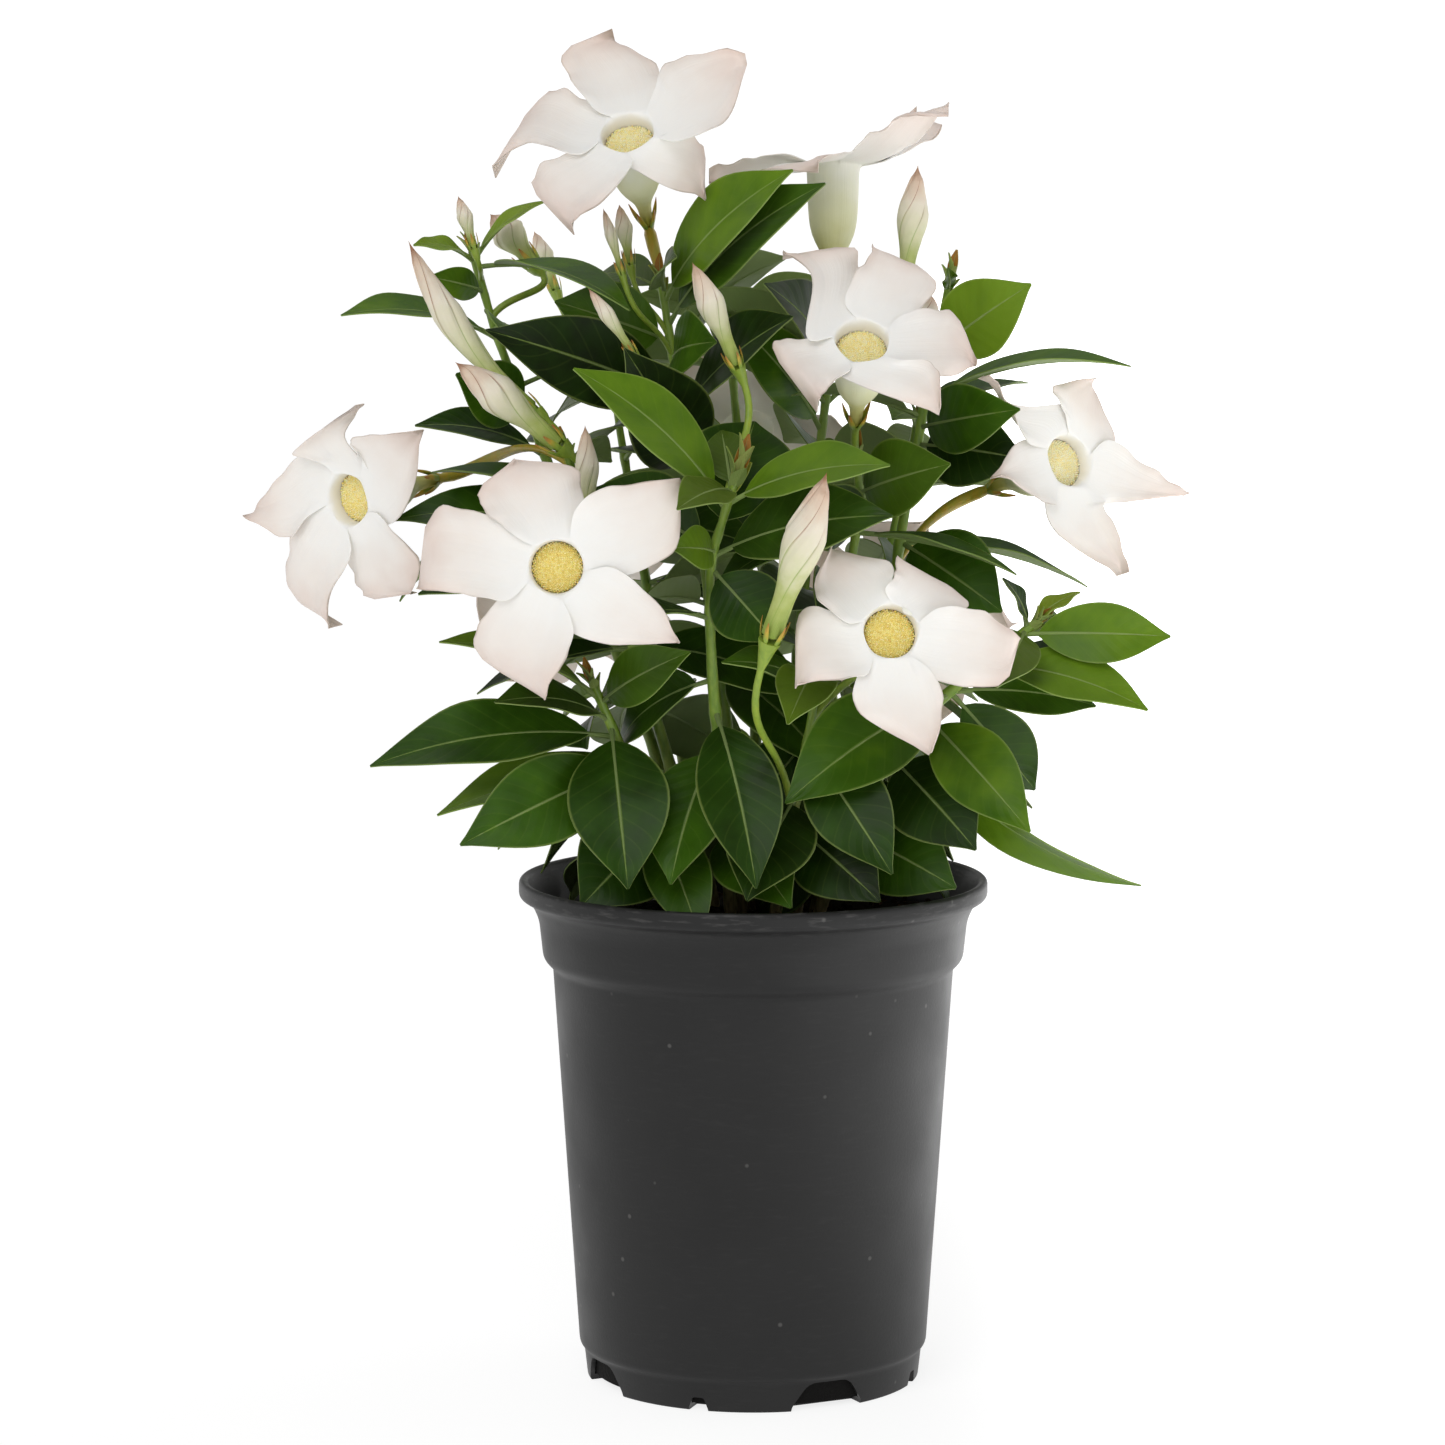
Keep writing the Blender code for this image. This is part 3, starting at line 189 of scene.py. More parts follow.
# Each stem is its path above the mix, in millimetres; its first point is where it leaves the mix.
STEMS = {
    "stem_front": [
        (-8, -14), (-10, -24, 208), (-14, -42, 250), (-15, -56, 290), (-11, -64, 308), (-7, -66, 321),
    ],
    "stem_left": [(-19, -3), (-27, -8, 210), (-40, -13, 255), (-54, -23, 300), (-64, -32, 329)],
    "stem_upper_left": [
        (-20, 12), (-33, 17, 215), (-53, 18, 268), (-72, 17, 322), (-88, 16, 362), (-95, 15, 385),
        (-98, 15, 396),
    ],
    "stem_top": [(-4, 5), (-8, 5, 220), (-16, 5, 280), (-25, 4, 340), (-32, 4, 386)],
    "stem_top_right": [(9, 11), (13, 13, 220), (19, 16, 290), (25, 20, 340), (28, 20, 368)],
    "stem_right_upper": [(15, -4), (22, -6, 215), (30, -9, 265), (36, -12, 305), (36, -15, 325)],
    "stem_right": [(22, 6), (33, 8, 210), (45, 7, 255), (52, 5, 300), (60, 6, 345), (68, 4, 386)],
    "stem_low_right": [(22, -16), (35, -24, 203), (58, -32, 238), (82, -38, 260), (95, -40, 271)],
    "stem_front_right": [(7, -22), (13, -33, 203), (19, -42, 235), (22, -46, 258)],
    "stem_low_left": [(-21, -17), (-31, -25, 198), (-44, -31, 224), (-55, -36, 250)],
    "stem_back_left": [(-14, 24), (-25, 40, 215), (-38, 58, 275), (-47, 68, 325), (-50, 70, 345)],
    "stem_back_right": [(15, 24), (30, 42, 215), (46, 60, 272), (55, 68, 312), (60, 70, 335)],
    "stem_back": [(0, 28), (1, 44, 235), (-3, 54, 300), (-7, 56, 350), (-9, 56, 375)],
}

# Blooms: the stem and the height their twig leaves it at, the throat's picture point and how far it
# stands out, and the way they face. Each petal is the picture point of its tip, how far the tip stands
# before the throat in millimetres, and the picture points of the corners on its clockwise and its
# anticlockwise side. Where the picture doesn't show them, `even` has a turn, a reach and those rises.
Bloom = namedtuple("Bloom", "name stem height px py out azimuth elevation petals even")
BLOOMS = [
    Bloom("bloom_crown_left", "stem_top", 380, 627, 132, 25, -12, 45, (
        (745, 53, 6, 724, 114, 672, 62), (613, 32, 4, 656, 58, 562, 59),
        (493, 170, -12, 543, 86, 526, 143), (571, 224, -8, 528, 170, 604, 203),
        (704, 192, -20, 663, 188, 700, 132),
    ), None),
    Bloom("bloom_crown_right", "stem_top_right", 362, 833, 165, -15, 180, 80,
          (), (10, 44, (-3, -6, 17, 25, 9))),
    Bloom("bloom_upper_right", "stem_right_upper", 318, 862, 340, 58, 2, 42, (
        (873, 243, 4, 938, 272, 866, 262), (783, 251, 4, 855, 246, 812, 280),
        (817, 406, -4, 772, 341, 834, 384), (940, 405, -2, 876, 391, 934, 368),
        (977, 359, -3, 950, 369, 952, 311),
    ), None),
    Bloom("bloom_right", "stem_right", 288, 1070, 460, 12, 36, 16, (
        (1099, 378, 2, 1124, 440, 1052, 386), (988, 375, 9, 1028, 402, 1018, 426),
        (996, 476, 7, 1020, 444, 1046, 503), (1127, 573, -2, 1057, 533, 1100, 512),
        (1192, 493, 10, 1122, 500, 1152, 472),
    ), None),
    Bloom("bloom_front_left", "stem_left", 262, 556, 567, 86, -3, 6, (
        (680, 479, 0, 674, 550, 606, 489), (515, 459, -3, 576, 470, 476, 495),
        (417, 588, 1, 434, 510, 478, 596), (544, 700, -3, 473, 648, 571, 645),
        (679, 643, 1, 605, 644, 657, 603),
    ), None),
    Bloom("bloom_front_right", "stem_front_right", 238, 891, 631, 90, 5, 18, (
        (898, 555, -6, 970, 597, 893, 578), (832, 546, -3, 889, 561, 814, 588),
        (796, 686, 0, 800, 610, 850, 678), (931, 752, -2, 859, 711, 943, 704),
        (1021, 638, 1, 1000, 684, 985, 613),
    ), None),
    Bloom("bloom_left", "stem_left", 325, 347, 500, 22, -40, -6, (
        (414, 432, 2, 404, 506, 357, 437), (356, 406, 2, 338, 436, 300, 449),
        (248, 514, 0, 292, 460, 290, 537), (331, 628, -2, 275, 584, 335, 592),
        (409, 595, -4, 351, 599, 415, 561),
    ), None),
    Bloom("bloom_back_left", "stem_back_left", 222, 576, 590, -112, 205, 22,
          (), (15, 44, (2, -5, 0, -7, 4))),
    Bloom("bloom_back_right", "stem_back_right", 218, 904, 616, -112, 150, 14,
          (), (40, 43, (0, -4, 5, -7, 0))),
    Bloom("bloom_back_crown", "stem_back", 270, 748, 428, -92, 178, 40, (), (60, 44, (4, 0, -9, -12, 3))),
]

# Buds: the picture points of the tip and of the base with how far each stands out, and the greatest
# width and the sag of the middle in millimetres.
Bud = namedtuple("Bud", "name stem height tip base width bow", defaults=[0])
BUDS = [
    Bud("bud_long_left", "stem_left", 324, (408, 240, 24), (536, 412, 36), 11, 5),
    Bud("bud_pale_left", "stem_left", 314, (455, 362, 52), (560, 446, 46), 14),
    Bud("bud_behind_front_left", "stem_left", 284, (585, 425, 62), (589, 530, 52), 8.5),
    Bud("bud_small_top", "stem_top", 322, (588, 288, 58), (634, 354, 48), 5.5),
    Bud("bud_centre", "stem_front", 312, (692, 262, 60), (737, 366, 46), 10),
    Bud("bud_crown_pair_left", "stem_top", 360, (603, 208, 16), (622, 274, 14), 4.5),
    Bud("bud_crown_pair_right", "stem_top", 366, (619, 204, 4), (630, 264, 2), 6.5),
    Bud("bud_crown_right", "stem_top_right", 350, (918, 165, 8), (904, 292, 6), 11.5),
    Bud("bud_tall_front", "stem_front_right", 204, (827, 472, 110), (770, 640, 92), 15),
    Bud("bud_upper_left", "stem_upper_left", 386, (458, 196, -4), (474, 248, -4), 6),
    Bud("bud_half_open_left", "stem_upper_left", 374, (490, 214, -28), (534, 264, -24), 13),
    Bud("bud_back_left", "stem_back_left", 342, (534, 231, -100), (556, 292, -88), 8),
    Bud("bud_back_right", "stem_back_right", 333, (930, 292, -100), (926, 366, -86), 11),
    Bud("bud_back_low", "stem_back", 216, (722, 606, -110), (716, 686, -90), 10),
]

# Leaves that the picture shows, by stem: the height where one leaves it, the picture point of its tip, how
# far that stands out, and the width in millimetres that the picture shows of it. Then, where they aren't
# drawn at random, how light its green is and how young it is. A blade that looks narrower than it must be
# is turned: up where `turn` is 1, and down where it is -1.
Leaf = namedtuple("Leaf", "height px py out width tone youth turn", defaults=[None, 0.0, 1])
LEAVES = {
    "stem_low_left": [
        (236, 628, 889, 68, 35, 0.35), (222, 604, 852, 46, 30), (200, 588, 896, 56, 34),
        (232, 370, 766, 48, 24, 0.45), (222, 460, 845, 62, 30, 0.6), (238, 495, 702, 72, 14),
        (246, 428, 673, 56, 12), (244, 690, 652, 66, 19),
    ],
    "stem_front": [
        (242, 811, 884, 72, 28, 0.3), (200, 791, 908, 66, 30), (313, 568, 380, 84, 22, 0.85, 0.15),
        (303, 772, 347, 48, 38, 0.4), (315, 890, 465, 88, 18, 0.85, 0.2),
        (298, 672, 548, 82, 15, 0.8, 0.3), (292, 776, 642, 62, 26),
    ],
    "stem_front_right": [
        (230, 892, 874, 70, 28, 0.3), (202, 880, 902, 60, 30), (250, 722, 662, 68, 10),
    ],
    "stem_low_right": [
        (224, 976, 850, 60, 33, 0.2), (198, 956, 888, 48, 30), (239, 1030, 832, 66, 26, 0.85, 0.05),
        (247, 1035, 790, 20, 24), (248, 1096, 706, 30, 18), (257, 1148, 710, 58, 19, 0.95, 0.22),
        (268, 1168, 661, 42, 21, 0.85, 0.18), (263, 1156, 681, 30, 9, 0.4),
        (232, 1141, 886, 28, 7, 0.9, 0.1, -1), (214, 1012, 822, 34, 20),
        (270, 1080, 592, 34, 5.5, 0.9, 0.55), (270, 1003, 578, 46, 4.5, 0.2),
    ],
    "stem_left": [
        (214, 437, 815, 34, 18, 0.9, 0.3), (282, 418, 594, 34, 19), (300, 392, 520, 12, 20),
    ],
    "stem_right": [
        (296, 1002, 612, 16, 32), (336, 1024, 384, 34, 24), (330, 1028, 448, 22, 28),
        (346, 1131, 366, 6, 9, 0.7, 0.1), (362, 1031, 284, 18, 27, 1.0, 0.3),
        (384, 948, 268, 6, 4.5, 0.5, 0.2),
    ],
    "stem_right_upper": [
        (314, 950, 464, 48, 27), (300, 806, 482, 44, 24),
    ],
    "stem_top_right": [
        (352, 765, 268, 34, 18, 0.15), (334, 768, 286, 6, 20),
    ],
    "stem_top": [
        (380, 776, 165, 44, 23, 0.9, 0.15), (372, 816, 210, 52, 26, 0.45, 0.08),
        (360, 716, 342, 38, 25), (346, 486, 330, 40, 30, 0.05), (322, 600, 322, 52, 32, 0.0),
        (366, 560, 284, 2, 26),
    ],
    "stem_upper_left": [
        (367, 341, 315, 16, 12, 0.75, 0.1), (326, 418, 446, 8, 14), (340, 456, 374, 2, 24),
        (394, 424, 246, 8, 7, 0.9, 0.45), (392, 630, 310, 26, 12, 0.75, 0.05),
        (370, 506, 338, 26, 11, 0.8, 0.1), (395, 546, 201, -10, 6, 0.9, 0.5),
        (383, 430, 270, 4, 11, 0.8, 0.1),
    ],
}

# The leaf pairs that fill the plant, every other pair turned a quarter round its stem.
PAIR_STEP = 22 * MM
PAIR_START = 16 * MM
LEAF_LENGTHS = (54 * MM, 78 * MM)
LEAF_WIDTH_SHARE = (0.40, 0.48)
LOW_DROOP = -54
HIGH_RISE = 34
TURN_PLAY = 18
RISE_PLAY = 12
FACE_PLAY = 14
TOP_PAIR_SHARE = 0.62
FILL_SEED = 23
BUSH_CENTRE = Vector((-2, 4, 275)) * MM
BUSH_REACH = Vector((126, 118, 132)) * MM

# The ways a leaf may bend aside: a turn across, a turn up or down in degrees, and its share of length.
BENDS = [
    (0, 0, 1.0), (5, 0, 1.0), (-5, 0, 1.0), (0, 5, 1.0), (0, -5, 1.0),
    (9, 4, 1.0), (-9, 4, 1.0), (9, -4, 1.0), (-9, -4, 1.0), (0, 11, 1.0), (0, -11, 1.0),
    (15, 0, 0.95), (-15, 0, 0.95), (12, 12, 0.95), (-12, 12, 0.95), (12, -12, 0.95), (-12, -12, 0.95),
    (0, 20, 0.9), (0, -20, 0.9), (23, 6, 0.88), (-23, 6, 0.88), (22, -9, 0.85), (-22, -9, 0.85),
    (32, 0, 0.8), (-32, 0, 0.8), (0, 32, 0.8), (0, -32, 0.8), (0, 0, 0.72),
]


def seen(px, py, out):
    """The place seen at a picture point that stands `out` millimetres in front of the pot's axis."""
    across = (px - PICTURE_MIDDLE) / PICTURE_REACH
    up = (PICTURE_MIDDLE - py) / PICTURE_REACH
    forward = math.cos(EYE_DIP) + up * math.sin(EYE_DIP)
    rise = up * math.cos(EYE_DIP) - math.sin(EYE_DIP)
    away = (-out * MM - EYE.y) / forward
    return Vector((EYE.x + away * across, -out * MM, EYE.z + away * rise))


def heading(azimuth, elevation):
    """A unit vector: azimuth 0 looks out of the picture, 90 to its right."""
    a = math.radians(azimuth)
    e = math.radians(elevation)
    return Vector((math.sin(a) * math.cos(e), -math.cos(a) * math.cos(e), math.sin(e)))


def square_to(direction, along):
    """The part of a direction that stands square to another, as a unit vector."""
    return (direction - along * direction.dot(along)).normalized()


def between(a, b, c, d, t):
    """The place t of the way from b to c on a smooth curve through four points."""
    bow = (a * 2 - b * 5 + c * 4 - d) * t**2 + (b * 3 - a - c * 3 + d) * t**3
    return (b * 2 + (c - a) * t + bow) / 2


def curve_through(points, step):
    """Points about one step apart on a smooth curve through the given ones."""
    ends = [points[0] * 2 - points[1]] + points + [points[-1] * 2 - points[-2]]
    found = [points[0]]
    for a, b, c, d in zip(ends, ends[1:], ends[2:], ends[3:]):
        count = max(1, round((c - b).length / step))
        for k in range(1, count + 1):
            found.append(between(a, b, c, d, k / count))
    return found


def stem_path(name, step=STEM_STEP):
    """A stem's path: upright in its hole in the mix, and then along its own curve."""
    (x, y), *above = STEMS[name]
    rise = Vector((x, y, MIX_TOP / MM + 3)) * MM
    foot = Vector((rise.x, rise.y, STEM_FOOT))
    return [foot] + curve_through([rise] + [Vector(p) * MM for p in above], step)


def at_height(path, height):
    """The point of a rising path at this height."""
    for a, b in zip(path, path[1:]):
        if a.z <= height <= b.z:
            return a.lerp(b, (height - a.z) / (b.z - a.z))
    return path[-1].copy()


def arc_between(start, start_way, end, end_way, count):
    """A twig's path, leaving one place along one direction and reaching another along a second."""
    pull = (end - start).length * 0.45
    b = start + start_way * pull
    c = end - end_way * pull
    found = []
    for k in range(count + 1):
        t = k / count
        u = 1 - t
        found.append(start * u**3 + b * (3 * t * u * u) + c * (3 * t * t * u) + end * t**3)
    return found


def bloom_axes(bloom):
    """A bloom's throat, the way it faces, and its own right and up as seen from in front."""
    throat = seen(bloom.px, bloom.py, bloom.out)
    face = heading(bloom.azimuth, bloom.elevation)
    right = Vector((0, 0, 1)).cross(face).normalized()
    return throat, face, right, face.cross(right)


def bloom_twig(bloom, path, spans):
    """The twig from a stem to the foot of a bloom's tube."""
    throat, face, _, _ = bloom_axes(bloom)
    foot = throat - face * (TUBE_LENGTH + PETAL_THICKNESS / 2 + SEAT_GAP)
    neck = foot - face * CUP_DEPTH
    start = at_height(path, bloom.height * MM)
    way = ((neck - start).normalized() + Vector((0, 0, 0.6))).normalized()
    return arc_between(start, way, neck, face, spans) + [foot]


def bud_ends(bud):
    """A bud's foot and tip."""
    return seen(*bud.base), seen(*bud.tip)


def bud_place(bud, s):
    """The middle of a bud, s of the way from its foot to its tip; a bowed one sags between them."""
    foot, tip = bud_ends(bud)
    sag = square_to(Vector((0, 0, -1)), (tip - foot).normalized()) * (bud.bow * MM)
    return foot + (tip - foot) * s + sag * (4 * s * (1 - s))


def bud_way(bud, s):
    """The way a bud points, s of the way from its foot."""
    return (bud_place(bud, s + 0.05) - bud_place(bud, s - 0.05)).normalized()


def bud_twig(bud, path, spans):
    """The twig from a stem to the foot of a bud."""
    foot = bud_place(bud, 0)
    way = bud_way(bud, 0)
    start = at_height(path, bud.height * MM)
    neck = foot - way * (CUP_DEPTH + SEAT_GAP)
    first = ((neck - start).normalized() + Vector((0, 0, 0.5))).normalized()
    return arc_between(start, first, neck, way, spans) + [foot - way * SEAT_GAP]


def upward_face(base, tip, turn):
    """The way a leaf's upper side looks: up and outwards, square to its length."""
    along = (tip - base).normalized()
    middle = (base + tip) / 2
    outward = Vector((middle.x, middle.y, 0)).normalized()
    face = square_to(outward * 0.8 + Vector((0, 0, 0.75)), along)
    return Matrix.Rotation(math.radians(turn), 3, along) @ face


def shown_face(base, tip, shown, width, turn):
    """The way a leaf's upper side looks where the picture shows this much of its width."""
    along = (tip - base).normalized()
    face = square_to(Vector((0, -1, 0.25)), along)
    angle = math.acos(min(1, shown / width)) * turn
    side = along.cross(face)
    return face * math.cos(angle) + side * (math.sin(angle) * (1 if side.z > 0 else -1))


def blade_width(t):
    """A blade's share of its full width, t of the way from its base to its pointed tip."""
    return math.sin(math.pi * t**0.88) ** (0.72 + 0.42 * t)


def bent(base, tip, face, bend):
    """A leaf's root, tip and face after it bends aside from its neighbours."""
    across, up, share = bend
    side = (tip - base).normalized().cross(face)
    turn = Matrix.Rotation(math.radians(across), 3, face) @ Matrix.Rotation(math.radians(up), 3, side)
    reach = turn @ (tip - base) * share
    return base + reach.normalized() * ROOT_SHIFT, base + reach, (turn @ face).normalized()


def shown_leaves(paths):
    """The picture's own leaves, as (stem, base, tip, face, width, arch, row)."""
    found = []
    for name, rows in LEAVES.items():
        for leaf in (Leaf(*row) for row in rows):
            base = at_height(paths[name], leaf.height * MM)
            tip = seen(leaf.px, leaf.py, leaf.out)
            width = max(leaf.width * MM, min(WIDTH_SHARE * (tip - base).length, WIDEST_HIDDEN))
            face = shown_face(base, tip, leaf.width * MM, width, leaf.turn)
            found.append((name, base, tip, face, width, SHOWN_ARCH, leaf))
    return found


def filling_leaves(paths):
    """Opposite pairs up every stem, drooping low down and rising at the top, in the same form."""
    draw = random.Random(FILL_SEED)
    found = []
    for name, path in paths.items():
        start = draw.uniform(0, 180)
        top = path[-1].z
        count = int((top - MIX_TOP - PAIR_START) / PAIR_STEP) + 1
        for k in range(count):
            height = top - 2 * MM - k * PAIR_STEP
            base = at_height(path, height)
            for side in (0, 180):
                azimuth = start + 90 * k + side + draw.uniform(-TURN_PLAY, TURN_PLAY)
                share = (height - MIX_TOP) / (BUSH_CENTRE.z + BUSH_REACH.z - MIX_TOP)
                elevation = LOW_DROOP + (HIGH_RISE - LOW_DROOP) * share
                elevation += draw.uniform(-RISE_PLAY, RISE_PLAY)
                length = draw.uniform(*LEAF_LENGTHS) * (TOP_PAIR_SHARE if k == 0 else 1)
                width = length * draw.uniform(*LEAF_WIDTH_SHARE)
                arch = draw.uniform(*FILLING_ARCHES)
                tip = base + heading(azimuth, elevation) * length
                face = upward_face(base, tip, draw.uniform(-FACE_PLAY, FACE_PLAY))
                found.append((name, base, tip, face, width, arch, None))
    return found


def along_curve(points, knots, s):
    """The place s of the way along a smooth curve that passes each point at its knot."""
    k = max(j for j in range(len(knots) - 1) if knots[j] <= s)
    t = (s - knots[k]) / (knots[k + 1] - knots[k])
    b, c = points[k], points[k + 1]
    a = points[k - 1] if k else b * 2 - c
    d = points[k + 2] if k + 2 < len(points) else c * 2 - b
    return between(a, b, c, d, t)


def on_round(turn, reach):
    """The place in a bloom's own axes at this angle and distance from its middle."""
    return Vector((math.cos(turn), math.sin(turn))) * reach


def petals_of(bloom):
    """A bloom's petals, anticlockwise from in front, as (tip, rise, corner before it, corner after it)."""
    found = []
    if bloom.even:
        roll, reach, rises = bloom.even
        for k, rise in enumerate(rises):
            turn = math.radians(roll) + FIFTH * k
            places = [on_round(turn + math.radians(off), reach * share * MM) for off, share in EVEN_PETAL]
            found.append((places[0], rise * MM, *places[1:]))
        return found
    throat, face, right, up = bloom_axes(bloom)
    for px, py, rise, *corners in bloom.petals:
        places = []
        for x, y, share in ((px, py, 1), (*corners[:2], CORNER_RISES[0]), (*corners[2:], CORNER_RISES[1])):
            ray = seen(x, y, 0) - EYE
            level = throat + face * (rise * share * MM)
            place = EYE + ray * ((level - EYE).dot(face) / ray.dot(face)) - throat
            places.append(Vector((place.dot(right), place.dot(up))))
        found.append((places[0], rise * MM, *places[1:]))
    return sorted(found, key=lambda petal: math.atan2(petal[0].y, petal[0].x) % (2 * math.pi))


def bud_radius(s):
    """A furled bud's share of its full radius, s of the way from its foot: a tube, a belly and a point."""
    if s < BUD_BELLY:
        return 0.48 + 0.52 * ease(BUD_NECK, BUD_BELLY, s)
    point = (s - BUD_BELLY) / (1 - BUD_BELLY)
    return max(0.06, (1 - point) ** 0.8 * (1 + 0.1 * point))


def mix_height(x, y):
    """The uneven top of the potting mix."""
    return 1.6 * math.sin(x * 70) * math.cos(y * 85 + 0.7) + 1.1 * math.sin(y * 150 + x * 60)


# Shapes: grids of faces moved by a formula, rods along a path, and thin solids made from sheets.

def new_shape(*attributes):
    """An empty shape with a UV map and these numbers kept at each corner point."""
    bm = bmesh.new()
    bm.loops.layers.uv.new("UVMap")
    for name in attributes:
        bm.verts.layers.float.new(name)
    return bm


def mark(bm, verts, values):
    """Keeps these values at the corner points."""
    for name, value in values.items():
        layer = bm.verts.layers.float[name]
        for v in verts:
            v[layer] = value


def sheet(bm, columns, rows, place, **values):
    """Adds a grid of faces moved to place(u, v), each from 0 to 1, and returns its corner points."""
    made = bmesh.ops.create_grid(bm, x_segments=columns, y_segments=rows, size=0.5, calc_uvs=True)["verts"]
    for v in made:
        v.co = place(v.co.x + 0.5, v.co.y + 0.5)
    mark(bm, made, values)
    return made


def faces_of(verts):
    """The faces between these corner points."""
    return list({f for v in verts if v.is_valid for f in v.link_faces})


def thicken(bm, verts, depth, side=None):
    """Makes a sheet a thin solid. The attribute `side` stays 1 on its own face and is 0 on the new one."""
    own = set(verts)
    made = bmesh.ops.solidify(bm, geom=faces_of(verts), thickness=depth)["geom"]
    if side:
        mark(bm, [g for g in made if isinstance(g, bmesh.types.BMVert) and g not in own], {side: 0.0})


def merge(bm, verts):
    """Closes the seams and poles of a sheet whose edges meet."""
    bmesh.ops.remove_doubles(bm, verts=[v for v in verts if v.is_valid], dist=0.01 * MM)


def frames_along(path):
    """For each point of a path, two directions square to it, turned as little as can be from the last."""
    found = []
    side = Vector((0.31, 0.93, 0.17))
    for k, point in enumerate(path):
        ahead = path[min(k + 1, len(path) - 1)] - point
        behind = point - path[max(k - 1, 0)]
        way = (ahead.normalized() + behind.normalized()).normalized()
        side = square_to(side, way)
        found.append((side, way.cross(side)))
    return found


def rod(bm, path, radii, sides, **values):
    """Adds a round rod with closed ends along a path, with a radius at each of its points."""
    frames = frames_along(path)
    last = len(path) - 1
    rows = last + 2

    def place(u, v):
        k = round(v * rows) - 1
        if k < 0 or k > last:
            return path[max(0, min(k, last))]
        side, other = frames[k]
        angle = 2 * math.pi * u
        return path[k] + (side * math.cos(angle) + other * math.sin(angle)) * radii[k]

    made = sheet(bm, sides, rows, place, **values)
    merge(bm, made)
    return [v for v in made if v.is_valid]


def mesh_of(name, bm):
    """The mesh of a shape, which is done with."""
    mesh = bpy.data.meshes.new(name)
    bm.to_mesh(mesh)
    bm.free()
    return mesh


def new_object(name, data):
    """An object of the scene."""
    obj = bpy.data.objects.new(name, data)
    bpy.context.scene.collection.objects.link(obj)
    return obj


def piece(name, bm, material, slot, *nodes, sharp=50):
    """The finished object: shaded smooth, riding on the root and standing for its solids."""
    mesh = mesh_of(name, bm)
    mesh.shade_smooth()
    mesh.set_sharp_from_angle(angle=math.radians(sharp))
    mesh.materials.append(material)
    obj = new_object(name, mesh)
    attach(obj, "root")
    if nodes:
        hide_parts(*nodes)
    return obj


# Leaves.

Blade = namedtuple("Blade", "root tip face width arch fold wave phase tone youth")


def blade_point(blade, s, c, lift=0.0):
    """A point of a leaf, s along it and c across it, raised `lift` above its middle."""
    reach = blade.tip - blade.root
    length = reach.length
    along = reach / length
    side = along.cross(blade.face)
    bow = blade.arch * length
    middle = blade.root + reach * s + blade.face * (bow * 4 * s * (1 - s))
    tangent = (along * length + blade.face * (bow * 4 * (1 - 2 * s))).normalized()
    normal = side.cross(tangent).normalized()
    half = BLADE_FOOT_WIDTH
    if s > PETIOLE:
        half += blade.width / 2 * blade_width((s - PETIOLE) / (1 - PETIOLE))
    rise = half * (math.hypot(c, RIB_SOFTNESS) - RIB_SOFTNESS) * math.sin(blade.fold)
    share = half / (blade.width / 2)
    rise += blade.wave * c * c * share * math.sin(WAVES * s + blade.phase + (1.3 if c > 0 else 0))
    return middle + side * (half * c * math.cos(blade.fold)) + normal * (rise + lift)


def add_leaf(bm, blade, grid=LEAF_GRID, size=1.0):
    """Adds one leaf: a thin blade on a round stalk that runs on under it as the midrib."""

    def place(u, v):
        return blade_point(blade, BLADE_START + (1 - BLADE_START) * v, 2 * u - 1)

    looks = {"tone": blade.tone, "youth": blade.youth, "upper": 1.0}
    made = sheet(bm, *grid, place, **looks)
    merge(bm, made)
    thicken(bm, [v for v in made if v.is_valid], BLADE_DEPTH * size, "upper")
    stations = [0.0, 0.05, PETIOLE] + [PETIOLE + (1 - PETIOLE) * k / 8 for k in range(1, 9)]
    path = [blade_point(blade, s, 0, -0.45 * MM * size * (1 - s * 0.6)) for s in stations]
    radii = [(1.05 - 0.85 * s**0.8) * MM * size for s in stations]
    looks["upper"] = 0.0
    rod(bm, path, radii, MIDRIB_SIDES, **looks)


def kept_leaves(paths):
    """Every leaf that the solids hold: the bend is the first that puts its tip where a solid has it."""
    tips = {}
    for name in STEMS:
        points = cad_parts[name].data.vertices
        tree = KDTree(len(points))
        for k, v in enumerate(points):
            tree.insert(v.co, k)
        tree.balance()
        tips[name] = tree
    found = {name: [] for name in STEMS}
    for name, base, tip, face, width, arch, row in shown_leaves(paths) + filling_leaves(paths):
        for bend in BENDS:
            root, end, up = bent(base, tip, face, bend)
            if tips[name].find(end)[2] < SAME_PLACE:
                found[name].append((root, end, up, width, arch, row))
                break
    return found


def leaf_blades(name, found, path):
    """The stem's leaves with their waves, tone and youth."""
    draw = random.Random(name)
    top = path[-1].z
    blades = []
    for root, end, up, width, arch, row in found:
        wave = draw.uniform(0.2, 0.9) * MM
        phase = draw.uniform(0, 2 * math.pi)
        tone = draw.uniform(0.15, 0.7)
        youth = max(0.0, 0.42 - (top - root.z) / YOUNG_REACH) * draw.uniform(0.2, 1.0)
        if row and row.tone is not None:
            tone, youth = row.tone, row.youth
        blades.append(Blade(root, end, up, width, arch, LEAF_FOLD, wave, phase, tone, youth))
    return blades


